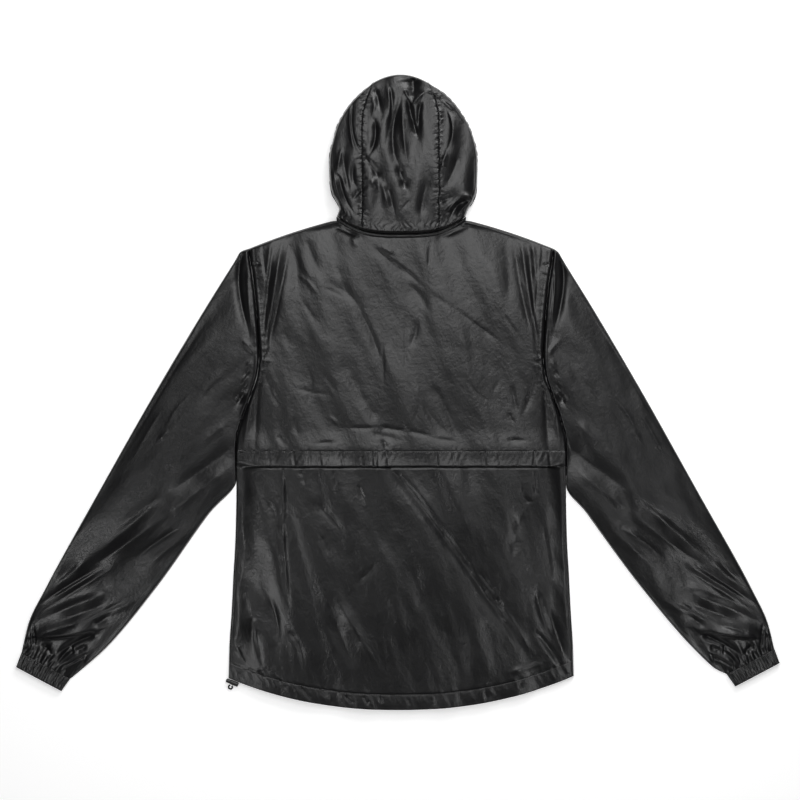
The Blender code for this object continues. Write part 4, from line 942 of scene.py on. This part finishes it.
def curls(x, y):
    """Curly gathers of the hood just above the neck band."""
    above = y - back_neck_y(x) - BAND_DEPTH
    wander = 0.0022 * np.sin(above * 420 + x * 90) + 0.0015 * np.sin(above * 230 - x * 170)
    folds = rounded_folds(x + wander + 0.15 * above * np.sin(x * 40), 21, 0.0085) - 0.6
    fade = smooth(above, 0.0, 0.002) * (1 - smooth(above, 0.008, 0.021 + 0.006 * np.sin(x * 130)))
    return 0.0008 * folds * fade * (np.abs(x - HOOD_AXIS) < 0.1)


def pillow(x, y, inside):
    """The puffed shape without folds: a low rim, a quick round rise, then a slow one over
    90 mm. The hood's share of it starts at the neck seam and stands much higher."""
    height = EDGE_LOW + (EDGE_TOP - EDGE_LOW) * edge_roll(inside)
    height += CLOTH_PUFF * (0.45 * edge_roll(inside) + 0.55 * rounded(inside / 0.09))
    rolled, at_rim = neck_roll(x, y), smooth(y, *ROLL_LEVELS)
    height += HOOD_EDGE * (at_rim + rounded(inside / 0.014) * (rolled - at_rim))
    risen = 0.72 * rolled + 0.28 * smooth(y, 0.232, 0.320)
    height += HOOD_PUFF * (0.86 * edge_roll(inside * 0.45) + 0.14 * rounded(inside / 0.06)) * risen
    return height + SLIDER_SHOWS * lift(x, y)


def streaks(x, y, seed, lean, length, height):
    """Soft unevenness drawn out to three times its width, leaning from straight up."""
    across, down = turned(x, y, lean)
    return waves(1.4 * across, 0.45 * down, seed, length, height)


def body_top(x, y):
    """Outer face of the back, the hem casing and the hood."""
    inside = edge_distance(x, y)
    detail = creases(x, y, BODY_FOLDS)
    detail += armhole_relief(x, y) + neck_relief(x, y) + cape_relief(x, y)
    low = 1 - smooth(y, -0.14, -0.08)
    detail += streaks(x, y, 6, 0.40, 0.085, 0.0008) * (1 + 0.4 * low)
    detail += streaks(x, y, 3, 0.4, 0.030, 0.00013) * (1 + 0.3 * low)
    detail += np.where(y > 0.235, hood_seam_relief(x, y), 0) + hem_relief(x, y)
    detail += side_fall(x, y)
    detail += curls(x, y) + smooth(y, 0.25, 0.28) * waves(x, 0.35 * y, 4, 0.030, 0.0006)
    height = pillow(x, y, inside) + detail * rounded(inside / FADE_IN)
    return np.maximum(height, EDGE_LOW + 0.0016 * edge_roll(inside))


def sleeve_top(side, x, y):
    """Outer face of a sleeve; its folds are given as for the left arm."""
    inside = edge_distance(x, y)
    out = side * (x - BODY_AXIS)
    as_left = out + (side > 0) * 0.0095 * smooth(out, 0.24, 0.52)
    detail = creases(as_left, y, SLEEVE_FOLDS) + armhole_relief(x, y)
    detail += streaks(x, y, 12, side * 0.7, 0.080, 0.0008)
    detail += streaks(x, y, 13, side * 0.6, 0.030, 0.00014)
    height = pillow(x, y, inside)
    gathered, near = gathered_height(side, x, y)
    height += near * (gathered - height)
    ahead, aside = from_cuff(side, x, y)
    puckers = rounded_folds(aside - 0.3 * side * ahead, 70 + side, 0.0090) - 0.6
    detail += 0.0012 * puckers * smooth(ahead, -0.034, -0.004) * (side * x > ARMS_FROM)
    height += detail * rounded(inside / FADE_IN) * (1 - 0.25 * near)
    return np.maximum(height, EDGE_LOW + 0.0012 * edge_roll(inside))


def under_face(x, y, seed):
    """The underside lies on the surface; a few shallow folds in it stand clear."""
    wave = waves(x, y, seed, 0.11, 0.0009) + waves(x, y, seed + 1, 0.04, 0.0004)
    return lift(x, y) + np.maximum(wave - 0.0005, 0)


print("height at the middle of the back", float(body_top(np.array([0.0]), np.array([0.0]))[0]))

# %% [markdown]
# ## Making a shell
# Every panel is a grid of points. The mesh is that grid, turned to face out, and a Solidify
# modifier gives it the cloth's thickness on its inner side.

# %% Shells
def mesh_from(name, points, faces):
    """A mesh from an array of points and an array of equal faces."""
    mesh = bpy.data.meshes.new(name)
    mesh.from_pydata(points, [], faces)
    mesh.shade_smooth()
    return mesh


def place_piece(name, mesh, finish):
    """An object of the garment with one finish."""
    mesh.materials.append(finish)
    piece = bpy.data.objects.new(name, mesh)
    bpy.context.scene.collection.objects.link(piece)
    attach(piece, "garment")
    return piece


def shell(name, grid, finish, slot="nylon", up=1, ring=False, thick=SHELL):
    """A thin shell from a grid [row, column, xyz] whose first half faces up (or down)."""
    rows, columns = grid.shape[:2]
    index = np.arange(rows * columns).reshape(rows, columns)
    if ring:
        index = np.concatenate([index, index[:, :1]], 1)
    elif up > 0:
        grid[..., 2] = np.maximum(grid[..., 2], thick)      # its inner face stays off the floor
    faces = np.stack([index[:-1, :-1], index[:-1, 1:], index[1:, 1:], index[1:, :-1]], -1)
    faces = faces.reshape(-1, 4)
    middle = grid[rows // 2 - 1:rows // 2 + 1, columns // 4:columns // 4 + 2]
    turn = np.cross(middle[0, 1] - middle[0, 0], middle[1, 0] - middle[0, 0])[2] * up
    if turn < 0:
        faces = faces[:, ::-1]
    piece = place_piece(name, mesh_from(name, grid.reshape(-1, 3), faces), finish)
    solid = piece.modifiers.new("cloth", "SOLIDIFY")
    solid.thickness, solid.offset = thick, -1
    even = piece.modifiers.new("even shading", "WEIGHTED_NORMAL")
    even.mode, even.weight = "FACE_AREA", 100
    print(name, rows, "x", columns, "points,", 4 * len(faces), "triangles")
    return piece


def cloth(piece, node, flat, share=1.0):
    """Hides the solid node that a laid piece of cloth stands for. The piece is not used; the flat
    cut's area times share is worked out and dropped.
    """
    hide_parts(node)
    share * flat[0] * flat[1]


def panel(node, x, y, z, finish, flat, share=1.0, **more):
    """A shell over plan points, named after the node whose solid it hides."""
    grid = np.stack(np.broadcast_arrays(x, y, z), -1)
    cloth(shell(node + "_cloth", grid, finish, **more), node, flat, share)


def ladder(top, bottom, count):
    """Levels from a top edge down to a bottom edge, in even steps in each column."""
    return top + spread(count, 0, 1)[:, None] * (bottom - top)


print("cloth is", SHELL * 1000, "mm thick where nothing else is said")

# %% [markdown]
# ## The back
# The upper back ends in a cape: a hemmed flap that hangs free over the lower back, with
# vents beneath it on the real jacket. Its hem is a doubled strip with a stitch line, and
# the thread has drawn it into small slanted tucks.

# %% Upper back
share = spread(236)[None, :]
y = ladder(body_top_y(BODY_AXIS + share * SHOULDER_HALF, back_neck_y), CAPE_STITCH_Y, 172)
x = BODY_AXIS + share * half_width(y)
panel("back_upper", x, y, body_top(x, y) + cape_rise(y), NYLON, (0.500, 0.360), 0.88)

# %% Cape hem
CAPE_LIP = 0.0020           # the doubled edge stands off the lower back,
CAPE_GAPES = (-0.138, 0.016), (-0.092, 0.018), (-0.025, 0.018)  # and more at these x and spreads
CAPE_DROP, CAPE_TURN = 0.0007, 0.0008   # the strip sinks towards its edge, which turns down


def cape_height(x, y):
    """The body's height, plus a lip and gapes that grow with the square of the way down."""
    below = np.clip((CAPE_STITCH_Y - y) / (CAPE_STITCH_Y - CAPE_EDGE_Y), 0, 1)
    gape = sum(bell(x - at, wide) for at, wide in CAPE_GAPES)
    return body_top(x, y) + cape_rise(y) + (CAPE_LIP + 0.0022 * gape) * below ** 2


share = spread(300)[None, :]
y = np.append(spread(11, CAPE_STITCH_Y, CAPE_EDGE_Y), CAPE_EDGE_Y)[:, None] + 0 * share
x = BODY_AXIS + share * half_width(y)
z = cape_height(x, y) - CAPE_DROP * spread(len(y), 0, 1)[:, None]
z[-1] -= CAPE_TURN          # the free edge turns down
panel("cape_hem", x, y, z, HEM_NYLON, (0.500, 0.023), thick=0.0008)

# %% Lower back
share = spread(248)[None, :]
bottom = hem_y(BODY_AXIS + share * HEM_HALF, BACK_HEM_DROP) + HEM_DEPTH
y = ladder(TUCK_TOP_Y, bottom, 186)
x = BODY_AXIS + share * half_width(y)
# going up, it sinks gently over the last 60 mm to the cape's edge, and more over the last 4.5
drop = 0.0010 * smooth(y, CAPE_EDGE_Y - 0.06, CAPE_EDGE_Y)
drop = drop + 0.0015 * smooth(y, CAPE_EDGE_Y - 0.0045, CAPE_EDGE_Y)
z = body_top(x, y) - drop * rounded(edge_distance(x, y) / 0.02)
panel("back_lower", x, y, z, NYLON, (0.520, 0.370), 0.97)

# %% Hem casing
share = spread(380)[None, :]
bottom = hem_y(BODY_AXIS + share * HEM_HALF, BACK_HEM_DROP)
y = bottom + HEM_DEPTH * spread(15, 1, 0)[:, None]
x = BODY_AXIS + share * half_width(y)
panel("hem_casing_back", x, y, body_top(x, y), HEM_NYLON, (0.560, 0.023), thick=0.0012)

# %% [markdown]
# ## The fronts and the zip
# These lie on the surface, face down. Each front runs from the zip to the side seam. The
# zip's coil teeth are on the inside, its tape shows from below.

# %% Fronts
for side, label in SIDES:
    share = spread(60, 0, 1)[None, :]
    top_x = BODY_AXIS + side * np.maximum(share * SHOULDER_HALF, ZIP_HALF)
    top = body_top_y(top_x, front_neck_y)
    bottom = hem_y(BODY_AXIS + side * share * HEM_HALF, FRONT_HEM_DROP)
    seam = bottom + HEM_DEPTH
    for name, high, low, rows, flat, part in (
            ("front_" + label, top, seam, 140, (0.260, 0.660), 0.90),
            ("hem_casing_front_" + label, seam, bottom, 10, (0.270, 0.023), 1.0)):
        y = ladder(high, low, rows)
        x = BODY_AXIS + side * (ZIP_HALF + share * (half_width(y) - ZIP_HALF))
        panel(name, x, y, under_face(x, y, 60 + side), NYLON, flat, part, up=-1)

# %% Small repeated parts
ROD_SIDES = 6
ROD_FULL = 0.32             # a rod keeps its full width to this share of its length


def rods(name, places, ways, size, finish):
    """Copies of a small rounded rod, joined: places, directions, (length, width, height)."""
    turn = np.arange(ROD_SIDES) * 2 * math.pi / ROD_SIDES
    shape = [(at, math.cos(t) / 2, math.sin(t) / 2) for at in (-ROD_FULL, ROD_FULL) for t in turn]
    shape = np.array([(-0.5, 0, 0), *shape, (0.5, 0, 0)]) * size
    ways = ways / np.linalg.norm(ways, axis=1, keepdims=True)
    aside = np.cross([0, 0, 1.0], ways)
    aside /= np.linalg.norm(aside, axis=1, keepdims=True)
    above = np.cross(ways, aside)
    points = (places[:, None] + shape[None, :, :1] * ways[:, None]
              + shape[None, :, 1:2] * aside[:, None] + shape[None, :, 2:] * above[:, None])
    k, n = np.arange(ROD_SIDES), (np.arange(ROD_SIDES) + 1) % ROD_SIDES
    last = 1 + 2 * ROD_SIDES
    one = np.concatenate([
        np.stack([0 * k, 1 + n, 1 + k], 1),
        np.stack([1 + k, 1 + n, 1 + ROD_SIDES + n], 1),
        np.stack([1 + k, 1 + ROD_SIDES + n, 1 + ROD_SIDES + k], 1),
        np.stack([0 * k + last, 1 + ROD_SIDES + k, 1 + ROD_SIDES + n], 1)])
    faces = one[None] + (len(shape) * np.arange(len(places)))[:, None, None]
    mesh = mesh_from(name, points.reshape(-1, 3), faces.reshape(-1, 3))
    print(name, len(places), "rods,", faces.size // 3, "triangles")
    return place_piece(name, mesh, finish)


print("a rod has", 4 * ROD_SIDES, "triangles")

# %% Zip
TOOTH, TOOTH_PITCH = (0.0042, 0.0013, 0.0012), 0.0030
for side, label in SIDES:
    bottom = float(hem_y(np.float64(BODY_AXIS), FRONT_HEM_DROP))
    y = spread(160, ZIP_TOP_Y, bottom)[:, None]
    x = BODY_AXIS + side * np.array([0.0001, 0.003, 0.0055, ZIP_HALF])[None, :] + 0 * y
    y = y + 0 * x
    tape = shell(f"zip_tape_{label}", np.stack([x, y, lift(x, y)], -1), TAPE, "zip_tape", up=-1)
    at = np.arange(bottom + 0.004, ZIP_TOP_Y - 0.002, TOOTH_PITCH) + (side > 0) * TOOTH_PITCH / 2
    place = np.stack([0 * at + BODY_AXIS + side * 0.0008, at,
                      lift(BODY_AXIS + 0 * at, at) + SHELL + 0.0006], 1)
    teeth = rods(f"zip_teeth_{label}", place, np.tile([1.0, 0, 0], (len(at), 1)), TOOTH, COIL)
    cloth(tape, f"zip_{label}", (0.010, ZIP_TOP_Y - bottom), 0.8)

# %% [markdown]
# ## Sleeves and cuffs
# A sleeve is one piece, folded along its outer edge and sewn under the arm, so laid down it
# is a flattened tube. Close to the cuff its spare cloth stacks up in hard folds. The cuff
# is a strip of the same nylon gathered over an elastic band.

# %% Sleeves
SLEEVE_TOP, SLEEVE_UNDER = 104, 20
along_arm = np.append(spread(158, 0, 0.82)[:-1], spread(84, 0.82, 1))[:, None]
for side, label in SIDES:
    top_x, top_y = sleeve_plan(side, along_arm, spread(SLEEVE_TOP, 0, 1)[None, :])
    low_x, low_y = sleeve_plan(side, along_arm, spread(SLEEVE_UNDER, 1, 0)[None, :])
    low = under_face(low_x, low_y, 80 + side) * rounded(edge_distance(low_x, low_y) / 0.01)
    low[:, [0, -1]] = SHELL             # the folded edges keep their inner face off the floor
    top = np.maximum(sleeve_top(side, top_x, top_y), 1.3 * SHELL)
    x, y, z = (np.concatenate(pair, 1) for pair in ((top_x, low_x), (top_y, low_y), (top, low)))
    panel("sleeve_" + label, x, y, z, SLEEVE_NYLON[side], (0.480, 0.560), 0.80, ring=True)

# %% Cuffs
for side, label in SIDES:
    middle, half, across, downward = CUFFS[side]
    turn = spread(420, 0, math.pi)
    flat = spread(40, 1, -1)[1:-1]
    reach = np.append(-np.cos(turn), flat)
    rows = []
    for step in spread(14, 0, 1):
        rib = rounded_folds(0.0010 * math.sin(3 * step) - half * np.cos(turn), 90 + side, 0.0042)
        rib = 0.00070 * (rib ** 0.5 - 0.7)
        crown = (CUFF_TOP / 2 + rib) * np.sin(turn) ** 0.3      # a tube pressed almost flat
        bulge = 0.0005 * math.sin(math.pi * step)
        z = CUFF_TOP / 2 + np.append(crown + bulge * np.sin(turn), 0 * flat - CUFF_TOP / 2)
        centre = middle + downward * step * (CUFF_DEPTH + 0.0006)
        plan = centre + half * (1 + step * (CUFF_SPREAD - 1)) * reach[:, None] * across
        rows.append(np.column_stack([plan, z]))
    finish = nylon("gathered_black_nylon_" + label, 0.02, 0.8, math.atan2(across[1], across[0]),
                   ribs=0.0018)
    x, y, z = np.moveaxis(np.array(rows), -1, 0)
    panel("cuff_" + label, x, y, z, finish, (0.230, 0.0215), slot="cuff_rib", ring=True,
          thick=0.0012)

# %% [markdown]
# ## The hood
# Three panels: a long middle one from the neck over the crown to the forehead, and a
# curved one at each side that rolls under to the face opening. It lies a little crushed.

# %% Neck band and hood
HOOD_NYLON = nylon("black_nylon_puckered", seams=(HOOD_AXIS, HOOD_SEAM_HALF))
x = BODY_AXIS + NECK_HALF * spread(200)[None, :]
y = back_neck_y(x) + np.array([0, 0.0012, 0.0025, 0.0038, BAND_DEPTH + SEAM])[:, None]
x = x + 0 * y
panel("neck_band", x, y, body_top(x, y), HEM_NYLON, (0.210, 0.010), 0.6)


def rises(count):
    """Shares of the way up a hood seam, closer together at the neck and over the crown."""
    return CROWN_TURN * np.sin(spread(count, 0, 1) ** 1.35 * math.pi / 2)


def hood_panel(name, top, under, axis, flat, share):
    """One panel from its upper and its under grid of plan points, joined at the roll."""
    pairs = zip((*top, body_top(*top)), (*under, under_height(*under)))
    x, y, z = (np.concatenate([a, np.delete(b, 0, axis)], axis) for a, b in pairs)
    panel(name, x, y, z, HOOD_NYLON, flat, share)


across = spread(84)[None, :]
base = hood_base_y(HOOD_AXIS + across * HOOD_SEAM_HALF) - SEAM
rise = np.append(rises(178), spread(14, CROWN_TURN, 1)[1:])[:, None]
y = base + rise * (crown_y(HOOD_AXIS + across * CROWN_SEAM_HALF) - base)
side_y = np.where(across < 0, y[:, :1], y[:, -1:])
x = HOOD_AXIS + across * (hood_seam_x(1, side_y) - HOOD_AXIS)
under = spread(18, 0, 1)[:, None] ** 1.6
rim_y = RIM_SIDE_Y + (RIM_TOP_Y - RIM_SIDE_Y) * (1 - across ** 2)
under_x = HOOD_AXIS + across * (CROWN_SEAM_HALF + under * (RIM_SEAM_HALF - CROWN_SEAM_HALF))
hood_panel("hood_center", (x, y), (under_x, y[-1:] + under * (rim_y - y[-1:])), 0,
           (0.150, 0.320), 0.85)

# %% Hood sides
for side, label in SIDES:
    rise = rises(178)[:, None]
    base = hood_base_y(HOOD_AXIS + side * HOOD_SEAM_HALF) - SEAM
    seam_y = base + rise * (CROWN_SIDE_Y - base)
    seam_x = hood_seam_x(side, seam_y)
    edge_x, edge_y = hood_edge(side, rise / CROWN_TURN)
    edge_x[-1] += side * LAST_ROW_EASE
    out = np.sin(spread(48, 0, 1) * math.pi / 2)[None, :]
    x, y = seam_x + out * (edge_x - seam_x), seam_y + out * (edge_y - seam_y)
    x[-1, 1:-1] = hood_seam_x(side, y[-1, 1:-1]) + side * LAST_ROW_EASE
    y = y + (1 - rise) ** 2 * (1 - out ** 10) * (hood_base_y(x[:1]) - SEAM - y[:1])
    rim_x, rim_y = along([(HOOD_AXIS + side * row[0], row[1]) for row in RIM_SECTIONS],
                         rise / CROWN_TURN)
    under = spread(22, 0, 1)[None, :] ** 1.6
    under_x, under_y = edge_x + under * (rim_x - edge_x), edge_y + under * (rim_y - edge_y)
    sink = (1 - rise) ** 2 * np.clip(under * 3, 0, 1)
    under_y = under_y + sink * (front_neck_y(under_x) + SEAM / 2 - under_y)
    hood_panel("hood_" + label, (x, y), (under_x, under_y), 1, (0.140, 0.250), 0.72)

# %% [markdown]
# ## Topstitching
# Black thread, about three millimetres a stitch, in a line beside each armhole, along the
# cape's hem and above the hem casing.

# %% Stitches
STITCH, STITCH_GAP = 0.0024, 0.0034


def stitch_line(name, line, height):
    """Stitches at even steps along a line of plan points, on a height function."""
    run = run_along(line)
    at = np.arange(STITCH_GAP, run[-1] - STITCH_GAP, STITCH_GAP)
    ends = [np.stack([np.interp(at + shift, run, line[:, k]) for k in (0, 1)], 1)
            for shift in (-STITCH / 2, STITCH / 2)]
    solid = [np.column_stack([end, height(end[:, 0], end[:, 1]) + 0.00012]) for end in ends]
    rods(name, (solid[0] + solid[1]) / 2, solid[1] - solid[0], (STITCH, 0.0009, 0.0008), THREAD)


for side, label in SIDES:
    y = spread(120, SHOULDER_Y - 0.004, UNDERARM_Y + 0.006)
    line = np.stack([BODY_AXIS + side * (half_width(y) - STRIP), y], 1)
    stitch_line("armhole_stitches_" + label, line, lambda a, b: body_top(a, b) + cape_rise(b))
y = np.full(200, CAPE_STITCH_Y - 0.0012)
line = np.stack([BODY_AXIS + spread(200, -0.985, 0.985) * half_width(y), y], 1)
stitch_line("cape_stitches", line, cape_height)
x = BODY_AXIS + spread(200, -0.985, 0.985) * 0.2555
line = np.stack([x, hem_y(x, BACK_HEM_DROP) + HEM_DEPTH - 0.0012], 1)
stitch_line("hem_stitches", line, body_top)

# %% [markdown]
# ## Trim that the solid model already shapes
# The slider, its pull tab, the cord lock and the cord's loop keep their own solids and only
# get a finish.

# %% Trim
for node, finish in (("zip_slider", METAL), ("zip_pull_tab", METAL),
                     ("hem_cord_lock", PLASTIC), ("hem_cord_loop", CORD)):
    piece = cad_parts[node]
    piece.data.materials.clear()
    piece.data.materials.append(finish)
print("kept nodes have finishes")

# %% [markdown]
# ## The floor
# A plain pale sheet of paper, lit almost to white, that takes a soft shadow.

# %% Floor
paper = Finish("pale_paper", Specular_IOR_Level=0.1)
grain = paper.noise(0.004)
paper.set(Base_Color=paper.colour(grain, (0.86, 0.86, 0.86), (0.88, 0.88, 0.88)), Roughness=0.9)
paper.set(Normal=paper.bump(grain, 0.00002))
paper.set(Emission_Color=(1, 1, 1, 1), Emission_Strength=0.45)
FLOOR, FLOOR_DROP = 6.0, 0.0004     # half the side of the sheet, and how far it lies below
floor = bpy.data.objects.new("floor", mesh_from("floor", np.array(
    [(-FLOOR, -FLOOR, 0), (FLOOR, -FLOOR, 0), (FLOOR, FLOOR, 0), (-FLOOR, FLOOR, 0)]),
    np.array([[0, 1, 2, 3]])))
floor.data.materials.append(paper.material)
floor.location.z = -FLOOR_DROP
bpy.context.scene.collection.objects.link(floor)
print("floor", 2 * FLOOR, "m wide")
